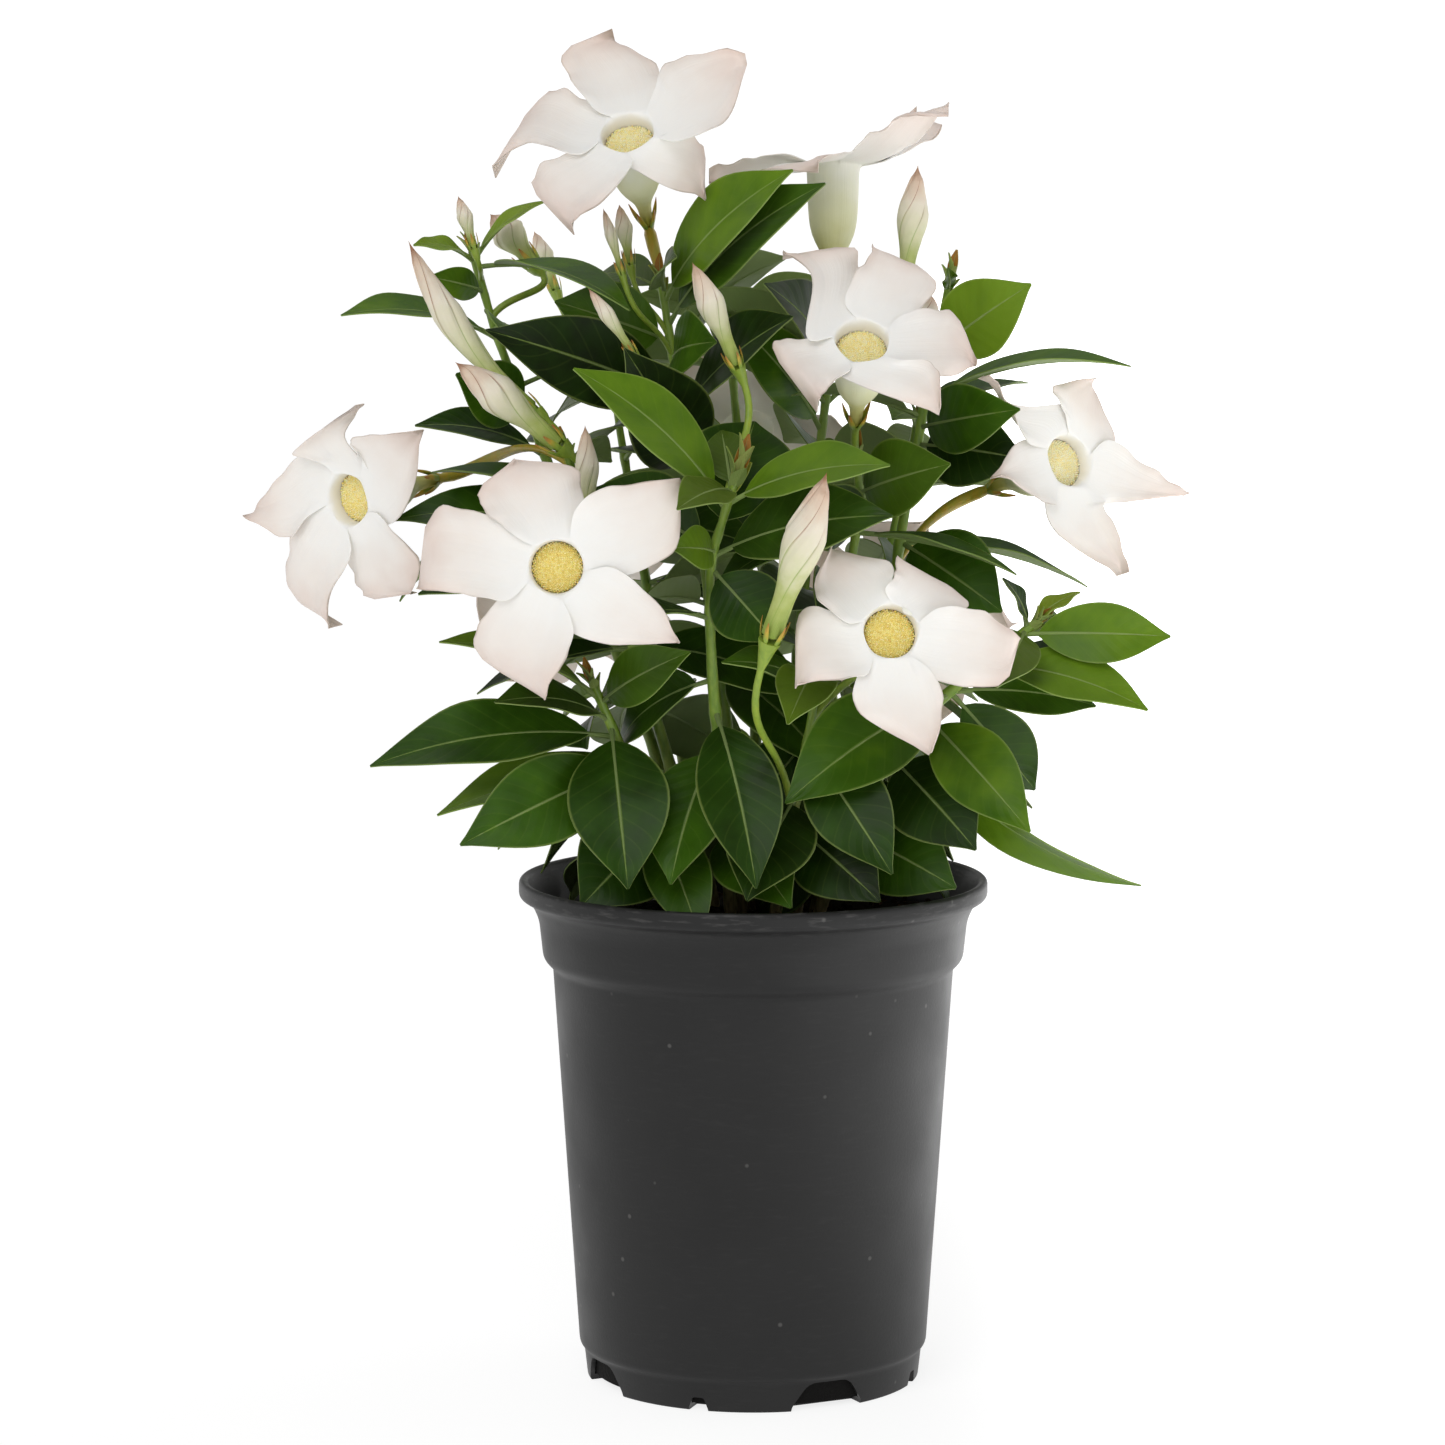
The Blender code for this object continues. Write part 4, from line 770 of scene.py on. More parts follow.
def add_growing_tip(bm, path, draw, size):
    """Adds the small upright leaves at the end of a stem."""
    end = path[-1]
    way = (path[-1] - path[-2]).normalized()
    side, other = frames_along(path)[-1]
    for k in range(6):
        angle = 2 * math.pi * k / 6 + draw.uniform(-0.3, 0.3) + (0.5 if k % 2 else 0)
        out = side * math.cos(angle) + other * math.sin(angle)
        reach = (way * draw.uniform(0.8, 1.1) + out * (0.2 + 0.28 * (k % 2))) * size * (1 - 0.3 * (k % 2))
        root = end - way * (0.5 + k) * MM
        up = square_to(way - out * 0.4, reach.normalized())
        youth = draw.uniform(0.5, 0.78) if k else 1.0
        tone = draw.uniform(0.5, 1)
        blade = Blade(root, root + reach, up, size * 0.26, 0.06, 0.5, 0.1 * MM, 0, tone, youth)
        add_leaf(bm, blade, YOUNG_LEAF_GRID, 0.6)


def make_leaves(name, blades, path, material):
    """One stem's leaves, with the young ones at its end."""
    bm = new_shape("tone", "youth", "upper")
    for blade in blades:
        add_leaf(bm, blade)
    add_growing_tip(bm, path, random.Random(name + " tip"), TIP_SIZES.get(name, TIP_SIZE))
    return piece(name.replace("stem", "leaves"), bm, material, "foliage", name)


# Wood: the stems with their swollen nodes, the twigs, and the calyx that holds each bloom and bud.

def add_calyx(bm, path, cup, length, spread, turn):
    """Adds five pointed sepals standing round the end of a twig."""
    foot = path[-1]
    way = (path[-1] - path[-2]).normalized()
    side, other = frames_along(path)[-1]
    for k in range(5):
        angle = FIFTH * k + turn
        out = side * math.cos(angle) + other * math.sin(angle)
        root = foot + out * cup * 0.8 - way * 0.8 * MM
        tip = foot + out * spread + way * length

        def place(u, v, root=root, tip=tip, out=out):
            along = (tip - root).normalized()
            face = square_to(out, along)
            c = 2 * u - 1
            broad = 0.16 + 0.95 * math.sin(math.pi * (0.12 + 0.88 * v)) ** 0.8
            half = broad * length * 0.14 * (1 - 0.5 * v)
            bow = math.sin(math.pi * v) * length * 0.06
            return root.lerp(tip, v) + along.cross(face) * half * c + face * (bow - half * 0.5 * c * c)

        made = sheet(bm, *SEPAL_GRID, place, flush=0.0, woody=0.0)
        layer = bm.verts.layers.float["flush"]
        for v in made:
            v[layer] = min(1.0, max(0.0, (v.co - root).dot(tip - root) / (tip - root).length_squared))
        thicken(bm, made, SEPAL_THICKNESS)


def make_wood(name, path, knots, material):
    """One stem's wood, a little swollen at each pair of leaves, with its twigs and calyces."""
    bm = new_shape("flush", "woody")
    last = len(path) - 1
    radii = []
    for k, point in enumerate(path):
        swell = sum(math.exp(-(((point.z - z) / NODE_LENGTH) ** 2)) for z in knots)
        radii.append(STEM_RADIUS * (1 - STEM_TAPER * (k / last) ** 1.5) * (1 + NODE_SWELL * min(1, swell)))
    made = rod(bm, path, radii, STEM_SIDES, flush=0.1, woody=0.0)
    layer = bm.verts.layers.float["woody"]
    for v in made:
        v[layer] = min(1.0, max(0.0, (WOODY_BELOW - v.co.z) / WOODY_FADE))
    coarse = stem_path(name)
    for bloom in (b for b in BLOOMS if b.stem == name):
        twig = bloom_twig(bloom, coarse, BLOOM_TWIG_SPANS)
        count = len(twig)
        thick = 0.75 if bloom.name in FLUSHED else 0.12
        radii = [TWIG_RADIUS * (1 + thick * ease(0.15, 0.7, k / count)) for k in range(count)]
        radii[-2:] = BLOOM_CUP
        rod(bm, twig, radii, TWIG_SIDES, flush=0.55 if bloom.name in FLUSHED else 0.2, woody=0.0)
        add_calyx(bm, twig, BLOOM_CUP[1], SEPAL_HEIGHT, SEPAL_SPREAD * 0.82, 0.4)
    for bud in (b for b in BUDS if b.stem == name):
        twig = bud_twig(bud, coarse, BUD_TWIG_SPANS)
        count = len(twig)
        cup = bud.width * MM / 2 * bud_radius(0) + 0.45 * MM
        radii = [TWIG_RADIUS * (0.75 if bud.width < 8 else 1.0)] * (count - 2) + [cup * 0.75, cup]
        rod(bm, twig, radii, TWIG_SIDES, flush=0.25, woody=0.0)
        add_calyx(bm, twig, cup, 4 * MM + 0.25 * bud.width * MM, cup * 1.25, 0.2)
    return piece(name.replace("stem", "wood"), bm, material, "foliage", name)


# Blooms.

def tube_profile():
    """The trumpet's tube as (radius, height) from its foot to where the lobes begin."""
    rings = [Vector((radius, 0, height)) for radius, height in TUBE_RINGS[:-1]]
    rings.append(Vector((THROAT_RADIUS - THROAT_ROUND * 0.15, 0, -THROAT_ROUND)))
    return curve_through(rings, 1 * MM)


def along_profile(profile, t):
    """The point t of the way along a profile, counted by its points."""
    place = t * (len(profile) - 1)
    k = min(int(place), len(profile) - 2)
    return profile[k].lerp(profile[k + 1], place - k)


def ease(a, b, x):
    """From 0 at a to 1 at b, smoothly."""
    t = min(1.0, max(0.0, (x - a) / (b - a)))
    return t * t * (3 - 2 * t)


def petal_outline(petals, k, s):
    """The middle turn of petal k, and its two edges s of the way out, in the bloom's own axes."""
    turns = [math.atan2(petal[0].y, petal[0].x) % (2 * math.pi) for petal in petals]
    middle = sum(turns[j] - FIFTH * j for j in range(5)) / 5 + FIFTH * k - SWIRL
    tip, _, *corners = petals[k]
    edges = []
    for side, corner, lap in zip((-1, 1), corners, (0.0, PETAL_LAP)):
        share = (corner.length - THROAT_RADIUS) / (tip.length - THROAT_RADIUS)
        share = min(CORNER_PLACES[1], max(CORNER_PLACES[0], share))
        reach = THROAT_RADIUS + LAP_PLACE * (tip.length - THROAT_RADIUS)
        inner = on_round(middle + side * (FIFTH / 2 + lap), reach)
        points = [on_round(middle + side * FIFTH / 2, THROAT_RADIUS), inner, corner, tip]
        edges.append(along_curve(points, (0.0, LAP_PLACE, share, 1.0), s))
    return middle, edges


def petal_point(petals, k, s, c):
    """A point of petal k, s of the way out and c across it, in the bloom's own axes.

    The anticlockwise edge lies on the next petal. The middle is a shallow trough, the margins wave, and
    near the tip they roll back.
    """
    middle, edges = petal_outline(petals, k, s)
    tip, rise, *_ = petals[k]
    flat = edges[0].lerp(edges[1], (c + 1) / 2)
    ring = on_round(middle + c * FIFTH / 2, THROAT_RADIUS)
    flat = ring.lerp(flat, ease(0.0, 0.2, s))
    wide = (edges[1] - edges[0]).length
    height = rise * s * s + PETAL_TILT * c * s + PETAL_WAVE * math.sin(4.4 * s + k * 1.9) * s
    height += LAP_RISE * ease(0.5, 1.0, c) * ease(0.08, 0.35, s)
    height -= PETAL_TROUGH * (1 - c * c) * math.sin(math.pi * s) ** 2
    height -= wide * MARGIN_ROLL * ease(0.72, 1.0, abs(c)) * ease(0.35, 0.8, s)
    height += MARGIN_FLUTTER * abs(c) ** 3 * s * math.sin(8.5 * s + 2.1 * k + (0.8 if c > 0 else 3.9))
    ripple = noise.noise(Vector((s * 7, math.copysign(3.7, c) + k * 5.3, tip.length * 900)))
    height += MARGIN_RIPPLE * ripple * abs(c) ** 4 * ease(0.2, 0.6, s)
    flat += (edges[1] - edges[0]) * (0.05 * ripple * c * abs(c) ** 3 * ease(0.35, 0.7, s))
    height += 0.35 * MM * math.sin(5.0 * c + 3.0 * k) * s
    height -= TIP_ROLL * ease(0.86, 1.0, s) ** 2
    round_off = max(0.0, 1 - s / 0.1) ** 2
    flat *= 1 - THROAT_ROUND * 0.15 * round_off / flat.length
    return Vector((flat.x, flat.y, height - THROAT_ROUND * round_off))


def corolla_point(petals, profile, k, v, c):
    """A point of the fifth of a trumpet with petal k, v of the way from the tube's foot to the tip."""
    if v > TUBE_SHARE:
        return petal_point(petals, k, (v - TUBE_SHARE) / (1 - TUBE_SHARE), c)
    edge = petal_point(petals, k, 0, c)
    ring = along_profile(profile, v / TUBE_SHARE)
    radius = ring.x * (1 - 0.06 * abs(c) ** 5 * (1 - v / TUBE_SHARE))
    return Vector((edge.x, edge.y, 0)).normalized() * radius + Vector((0, 0, ring.z))


def make_corolla(bloom, material):
    """A trumpet of one piece: its tube, its throat and its five swirled petals."""
    throat, face, right, up = bloom_axes(bloom)
    petals = petals_of(bloom)
    profile = tube_profile()
    bm = new_shape("inner")
    made = []
    for k in range(5):

        def place(u, v, k=k):
            local = corolla_point(petals, profile, k, v, 1 - 2 * u)
            return throat + right * local.x + up * local.y + face * local.z

        made += sheet(bm, *PETAL_GRID, place, inner=1.0)
    merge(bm, made)
    thicken(bm, [v for v in made if v.is_valid], 0.4 * MM, "inner")
    return piece(bloom.name.replace("bloom", "corolla"), bm, material, "petals", bloom.name, sharp=70)


def make_throat(bloom, material):
    """The mat of short yellow hairs that fills a bloom's throat, its middle standing a little proud."""
    throat, face, right, up = bloom_axes(bloom)
    draw = random.Random(bloom.name)
    bm = new_shape("tone")
    pale = PALE_THROATS.get(bloom.name, 0.0)

    def spot(radius, angle):
        depth = THROAT_DEPTH + THROAT_DOME * (radius / THROAT_FILL) ** 2
        return throat + (right * math.cos(angle) + up * math.sin(angle)) * radius - face * depth

    def place(u, v):
        if v < 0.5:
            return spot(THROAT_FILL * 2 * v, 2 * math.pi * u)
        return spot(THROAT_FILL * 2 * (1 - v), 2 * math.pi * u) - face * (0.4 * MM if v < 1 else 0.8 * MM)

    bed = sheet(bm, *THROAT_GRID, place, tone=0.45 + pale)
    merge(bm, bed)
    for k in range(THROAT_HAIRS):
        radius = THROAT_FILL * 0.97 * math.sqrt((k + 0.5) / THROAT_HAIRS)
        centre = spot(radius, k * GOLDEN_TURN) + face * draw.uniform(-0.1, 0.15) * MM
        size = draw.uniform(*HAIR_SIZES)
        made = bmesh.ops.create_icosphere(bm, subdivisions=1, radius=size)["verts"]
        mark(bm, made, {"tone": draw.random() + pale})
        way = face + right * draw.uniform(-0.5, 0.5) + up * draw.uniform(-0.5, 0.5)
        stretch = Matrix.Diagonal((1, 1, draw.uniform(0.9, 1.7), 1))
        seat = Matrix.Translation(centre) @ way.to_track_quat("Z", "Y").to_matrix().to_4x4()
        bmesh.ops.transform(bm, matrix=seat @ stretch, verts=made)
    return piece(bloom.name.replace("bloom", "throat"), bm, material, "anthers", sharp=180)


def make_anthers(bloom, material):
    """The style in a bloom's tube, with the cone of five anthers on it."""
    throat, face, right, up = bloom_axes(bloom)
    bm = new_shape("tone")
    heights = [-TUBE_LENGTH - PETAL_THICKNESS / 2] + [h * MM for h in (-28, -26, -24, -19, -16.5, -15)]
    radii = [r * MM for r in (0.6, 0.6, 1.2, 1.5, 1.3, 0.8, 0.3)]
    rod(bm, [throat + face * h for h in heights], radii, TWIG_SIDES, tone=0.5)
    for k in range(5):
        out = right * math.cos(FIFTH * k) + up * math.sin(FIFTH * k)
        line = ((-27, 1.0), (-23, 1.4), (-18, 1.1), (-14.5, 0.3))
        path = [throat + face * h * MM + out * r * MM for h, r in line]
        rod(bm, path, [r * MM for r in (0.25, 0.5, 0.42, 0.15)], 6, tone=0.9)
    name, node = (bloom.name.replace("bloom", kind) for kind in ("style", "anthers"))
    return piece(name, bm, material, "anthers", node)


# Buds.

def make_bud(bud, material):
    """A furled bud: five petals wound round each other, each edge standing out as a spiral fold."""
    bm = new_shape()

    def place(u, v):
        s = v**0.9
        if s >= 1:
            return bud_place(bud, 1)
        way = bud_way(bud, s)
        side = square_to(Vector((0.2, 0.9, 0.3)), way)
        other = way.cross(side)
        fold = (u * 5) % 1.0
        depth = 0.04 + 0.15 * min(1, max(0, (s - 0.25) / 0.4))
        ridge = 1 - depth * (1 - fold) ** 2 + 0.03 * math.sin(2 * math.pi * fold)
        radius = bud.width * MM / 2 * bud_radius(s) * ridge * (1 if s < 0.9 else ((1 - s) / 0.1) ** 0.7)
        if s <= 0:
            radius = 0
        angle = 2 * math.pi * u + BUD_TWIST * s + 1.4 * s * s
        sway = side * math.sin(math.pi * s) * bud.width * MM * 0.06
        return bud_place(bud, s) + sway + (side * math.cos(angle) + other * math.sin(angle)) * radius

    made = sheet(bm, *BUD_GRID, place)
    merge(bm, made)
    return piece(bud.name.replace("bud", "furled"), bm, material, "buds", bud.name, sharp=65)


# Pot and potting mix.

def rounded(corners, steps=4):
    """A profile from corners (x, z, radius), each with a radius turned into a short curve."""
    points = []
    for k, (x, z, radius) in enumerate(corners):
        here = Vector((x, z))
        if not radius:
            points.append(here)
            continue
        before = (Vector(corners[k - 1][:2]) - here)
        after = (Vector(corners[k + 1][:2]) - here)
        start = here + before.normalized() * min(radius, before.length * 0.45)
        end = here + after.normalized() * min(radius, after.length * 0.45)
        for j in range(steps + 1):
            t = j / steps
            points.append(start * (1 - t) ** 2 + here * (2 * t * (1 - t)) + end * t * t)
    return points


def lathe(bm, profile, steps):
    """Turns a profile of (radius, height) points about the pot's axis."""
    verts = [bm.verts.new((p.x, 0, p.y)) for p in profile]
    edges = [bm.edges.new(pair) for pair in zip(verts, verts[1:])]
    turn = {"cent": (0, 0, 0), "axis": (0, 0, 1), "angle": 2 * math.pi, "steps": steps}
    bmesh.ops.spin(bm, geom=verts + edges, use_merge=True, **turn)
    bmesh.ops.remove_doubles(bm, verts=bm.verts, dist=0.01 * MM)
    bmesh.ops.recalc_face_normals(bm, faces=bm.faces)


def add_notch(bm, azimuth, width, height):
    """Adds a cutter with sloping sides and soft corners at the pot's foot, facing this way."""
    half = width / 2 * MM
    low = height * NOTCH_SIDE * MM
    top = half * NOTCH_TOP
    soft = half * 0.25
    arch = rounded([
        (-half, -MM, 0), (half, -MM, 0), (half, low, soft / 2), (top, height * MM, soft),
        (-top, height * MM, soft), (-half, low, soft / 2), (-half, -MM, 0),
    ])[:-1]
    turn = Matrix.Rotation(math.radians(azimuth), 3, "Z")
    near = bm.faces.new([bm.verts.new(turn @ Vector((p.x, -50 * MM, p.y))) for p in arch])
    far = bmesh.ops.extrude_face_region(bm, geom=[near])["geom"]
    away = turn @ Vector((0, -20 * MM, 0))
    bmesh.ops.translate(bm, vec=away, verts=[g for g in far if isinstance(g, bmesh.types.BMVert)])


def cut_away(obj, bm):
    """Takes a cutter shape out of an object."""
    bmesh.ops.recalc_face_normals(bm, faces=bm.faces)
    cutter = new_object("cutter", mesh_of("cutter", bm))
    cut = obj.modifiers.new("cut", "BOOLEAN")
    cut.operation = "DIFFERENCE"
    cut.object = cutter
    cut.solver = "EXACT"
    bpy.context.view_layer.update()
    graph = bpy.context.evaluated_depsgraph_get()
    obj.data = bpy.data.meshes.new_from_object(obj.evaluated_get(graph), depsgraph=graph)
    obj.modifiers.remove(cut)
    bpy.data.objects.remove(cutter)


def make_pot(material):
    """The nursery pot: rolled lip, concave neck, collar, step, tapered wall and notched foot."""
    lip, collar = LIP_RADIUS, COLLAR_RADIUS
    wall_top, wall_foot, foot = WALL_TOP_RADIUS, WALL_FOOT_RADIUS, FOOT_RADIUS
    mm = MM
    outer = [
        (0, 0, 0), (foot, 0, 0.8 * mm),
        (foot + 1.2 * mm, 10.6 * mm, 1.2 * mm), (wall_foot, 12.2 * mm, 1.6 * mm),
        (wall_top, 146.5 * mm, 1.2 * mm), (collar - 1.5 * mm, 150.0 * mm, 2.0 * mm),
        (collar, 163.8 * mm, 2.4 * mm), (collar + 2.6 * mm, 169.6 * mm, 2.2 * mm),
        (lip, 172.0 * mm, 1.4 * mm), (lip, 177.0 * mm, 1.2 * mm), (lip - 1.0 * mm, POT_HEIGHT, 0.6 * mm),
    ]
    inner = [
        (lip - 3.0 * mm, POT_HEIGHT - 0.6 * mm, 0.8 * mm), (collar + 0.9 * mm, 169.8 * mm, 1.5 * mm),
        (collar - WALL, 164.0 * mm, 1.5 * mm), (collar - 1.5 * mm - WALL, 150.6 * mm, 1.2 * mm),
        (wall_top - WALL, 147.0 * mm, 0.8 * mm), (wall_foot - WALL, 13.4 * mm, 0),
        (foot - 0.5 * mm, 11.4 * mm, 0), (foot - 1.4 * mm, FLOOR, 0),
        (0, FLOOR, 0),
    ]
    bm = bmesh.new()
    lathe(bm, rounded(outer + inner), POT_STEPS)
    pot = piece("nursery_pot", bm, material, "pot", "pot", sharp=38)
    notches = bmesh.new()
    for azimuth in WIDE_NOTCHES:
        add_notch(notches, azimuth, *WIDE_NOTCH)
    for azimuth in NARROW_NOTCHES:
        add_notch(notches, azimuth, *NARROW_NOTCH)
    cut_away(pot, notches)
    return pot


def mix_surface(x, y):
    """The height of the mix's crumbly top at a place."""
    place = Vector((x, y, 0))
    rough = noise.noise(place * 90) * 1.3 + noise.noise(place * 260) * 0.8 + noise.noise(place * 620) * 0.4
    return MIX_TOP + (mix_height(x, y) + rough) * MM


def make_mix(material):
    """The potting mix: a plug that fills the pot, with a crumbly top."""
    slack = WALL + MIX_SLACK
    collar = COLLAR_RADIUS - slack
    wall_top = WALL_TOP_RADIUS - slack
    wall_foot = WALL_FOOT_RADIUS - slack
    floor = FLOOR + MIX_SLACK
    rim = collar - 1.0 * MM
    side = [(collar - 1.9 * MM, 151.4 * MM), (wall_top - 0.1 * MM, 147.4 * MM), (wall_foot, 13.9 * MM),
            (FOOT_RADIUS - 1.0 * MM, 11.6 * MM), (FOOT_RADIUS - 1.9 * MM, floor), (0.0, floor)]
    rows = MIX_RINGS + len(side)

    def place(u, v):
        k = round(v * rows)
        angle = -2 * math.pi * u
        if k <= MIX_RINGS:
            radius = rim * k / MIX_RINGS
            x, y = radius * math.cos(angle), radius * math.sin(angle)
            return Vector((x, y, mix_surface(x, y) - (1.2 * MM if k == MIX_RINGS else 0)))
        radius, height = side[k - MIX_RINGS - 1]
        return Vector((radius * math.cos(angle), radius * math.sin(angle), height))

    bm = new_shape("tone", "kind")
    made = sheet(bm, MIX_COLUMNS, rows, place, tone=0.4, kind=0.0)
    merge(bm, made)
    return piece("mix_plug", bm, material, "potting_mix", "potting_mix", sharp=180)


def make_crumbs(material):
    """Crumbs of peat, chips of bark and a few white grains of perlite, lying on the mix."""
    draw = random.Random(5)
    bm = new_shape("tone", "kind")
    stems = [Vector((x, y)) * MM for (x, y), *_ in STEMS.values()]
    for k in range(CRUMBS):
        radius = (COLLAR_RADIUS - 7 * MM) * math.sqrt(draw.random())
        angle = draw.uniform(0, 2 * math.pi)
        x, y = radius * math.cos(angle), radius * math.sin(angle)
        if any((stem - Vector((x, y))).length < 4.5 * MM for stem in stems):
            continue
        kind = draw.choices(list(CRUMB_SHARES), CRUMB_SHARES.values())[0]
        size = draw.uniform(0.7, 2.0) * MM * (1.25 if kind == 0.5 else 1)
        made = bmesh.ops.create_icosphere(bm, subdivisions=1, radius=size)["verts"]
        mark(bm, made, {"tone": draw.random(), "kind": kind})
        for v in made:
            v.co *= 1 + 0.45 * noise.noise(v.co * 900 + Vector((k, 0, 0)))
        wide = draw.uniform(0.4, 0.9)
        flat = Matrix.Diagonal((1, wide, 0.35 if kind == 0.5 else draw.uniform(0.6, 1), 1))
        spin = Matrix.Rotation(draw.uniform(0, 6.3), 4, "Z")
        lean = Matrix.Rotation(draw.uniform(-0.5, 0.5), 4, "X")
        seat = Matrix.Translation((x, y, mix_surface(x, y) + size * 0.2))
        bmesh.ops.transform(bm, matrix=seat @ spin @ lean @ flat, verts=made)
    return piece("mix_crumbs", bm, material, "potting_mix", sharp=30)


# Finishes.

SOFT = {"interpolation_type": "SMOOTHSTEP"}


def linear(code):
    """An sRGB hex colour as linear red, green, blue and alpha."""
    channels = [int(code[k:k + 2], 16) / 255 for k in (0, 2, 4)]
    return [c / 12.92 if c <= 0.04045 else ((c + 0.055) / 1.055) ** 2.4 for c in channels] + [1.0]


def add_node(owner, kind, sockets=None, stops=(), out=0, **settings):
    """Adds a shader node to a material or world and returns its output `out`.

    It takes the node's settings, its colour stops, and each socket's value or the output that feeds it.
    """
    tree = owner.node_tree
    made = tree.nodes.new("ShaderNode" + kind)
    for name, value in settings.items():
        setattr(made, name, value)
    for socket, value in (sockets or {}).items():
        if isinstance(value, bpy.types.NodeSocket):
            tree.links.new(value, made.inputs[socket])
        else:
            made.inputs[socket].default_value = value
    for k, (place, code) in enumerate(stops):
        elements = made.color_ramp.elements
        if k > 1:
            elements.new(place)
        elements[k].position = place
        elements[k].color = linear(code)
    return made.outputs[out]


def new_finish(name, uniform):
    """A material with its uniform shader values, and the function that adds a node to it."""
    material = bpy.data.materials.new(name)
    material.use_nodes = True
    for socket, value in uniform.items():
        material.node_tree.nodes["Principled BSDF"].inputs[socket].default_value = value
    return material, partial(add_node, material)


def feed(material, sockets):
    """Links outputs to the material's shader, and returns the material."""
    shader = material.node_tree.nodes["Principled BSDF"]
    for socket, output in sockets.items():
        material.node_tree.links.new(output, shader.inputs[socket])
    return material


def sheet_places(put):
    """A sheet's UV map, the places across and along it, and the distance from its middle line, 0 to 1."""
    flat = put("TexCoord", out="UV")
    u = put("SeparateXYZ", {0: flat})
    v = put("SeparateXYZ", {0: flat}, out=1)
    centred = put("Math", {0: u, 1: 0.5}, operation="SUBTRACT")
    aside = put("Math", {0: centred}, operation="ABSOLUTE")
    return flat, u, v, put("Math", {0: aside, 1: 2.0}, operation="MULTIPLY")


def leaf_cuticle():
    """Living leaf under a waxy cuticle: deep glossy green, a pale midrib and arched side veins."""
    material, put = new_finish("leaf_cuticle", {
        "IOR": 1.45, "Specular IOR Level": 0.2,
        "Subsurface Weight": 0.06, "Subsurface Scale": 0.0012, "Subsurface Radius": (0.35, 1.0, 0.15),
    })
    place = put("TexCoord", out="Object")
    _, _, v, across = sheet_places(put)
    tone = put("Attribute", out="Fac", attribute_name="tone")
    youth = put("Attribute", out="Fac", attribute_name="youth")
    upper = put("Attribute", out="Fac", attribute_name="upper")
    slant = put("Math", {0: across, 1: -1.9}, operation="MULTIPLY")
    ranks = put("Math", {0: v, 1: VEIN_PAIRS, 2: slant}, operation="MULTIPLY_ADD")
    saw = put("Math", {0: ranks, 1: 0.5}, operation="PINGPONG")
    veins = put("MapRange", {0: saw, 1: 0.0, 2: 0.09, 3: 1.0, 4: 0.0}, **SOFT)
    rib = put("MapRange", {0: across, 1: 0.015, 2: 0.05, 3: 1.0, 4: 0.0}, **SOFT)
    margin = put("MapRange", {0: across, 1: 0.94, 2: 0.985}, **SOFT)
    blotch = put("TexNoise", {"Vector": place, "Scale": 1 / (14 * MM), "Detail": 3.0})
    mottled = put("Math", {0: blotch, 1: 0.7, 2: -0.35}, operation="MULTIPLY_ADD")
    depth = put("Math", {0: mottled, 1: tone}, operation="ADD", use_clamp=True)
    green = put("ValToRGB", {0: depth}, stops=[
        (0.0, "122003"), (0.35, "203b05"), (0.7, "355708"), (1.0, "58780f")])
    young = put("ValToRGB", {0: youth}, stops=[
        (0.0, "6c9122"), (0.5, "8ba02e"), (0.75, "a09a30"), (1.0, "9a6a2a")])
    colour = put("Mix", {0: youth, 6: green, 7: young}, out=2, data_type="RGBA")
    for line, share, code in ((veins, 0.05, "7d943e"), (margin, 0.3, "98a85a"), (rib, 0.42, "86a04a")):
        shown = put("Math", {0: line, 1: share}, operation="MULTIPLY")
        colour = put("Mix", {0: shown, 6: colour, 7: linear(code)}, out=2, data_type="RGBA")
    pale = put("Mix", {0: 0.62, 6: colour, 7: linear("8c9e62")}, out=2, data_type="RGBA")
    colour = put("Mix", {0: upper, 6: pale, 7: colour}, out=2, data_type="RGBA")
    grain = put("TexNoise", {"Vector": place, "Scale": 1 / (0.9 * MM), "Detail": 2.0})
    gloss = put("MapRange", {0: blotch, 1: 0.3, 2: 0.7, 3: 0.34, 4: 0.46})
    dull = put("Mix", {0: upper, 2: 0.6, 3: gloss}, data_type="FLOAT")
    quilt = put("Math", {0: saw, 1: 1.6}, operation="MULTIPLY")
    relief = put("Math", {0: grain, 1: 0.12, 2: quilt}, operation="MULTIPLY_ADD")
    sunk = put("Math", {0: rib, 1: -1.2, 2: relief}, operation="MULTIPLY_ADD")
    bump = put("Bump", {"Height": sunk, "Distance": 0.14 * MM, "Strength": 0.6})
    return feed(material, {"Base Color": colour, "Roughness": dull, "Normal": bump})


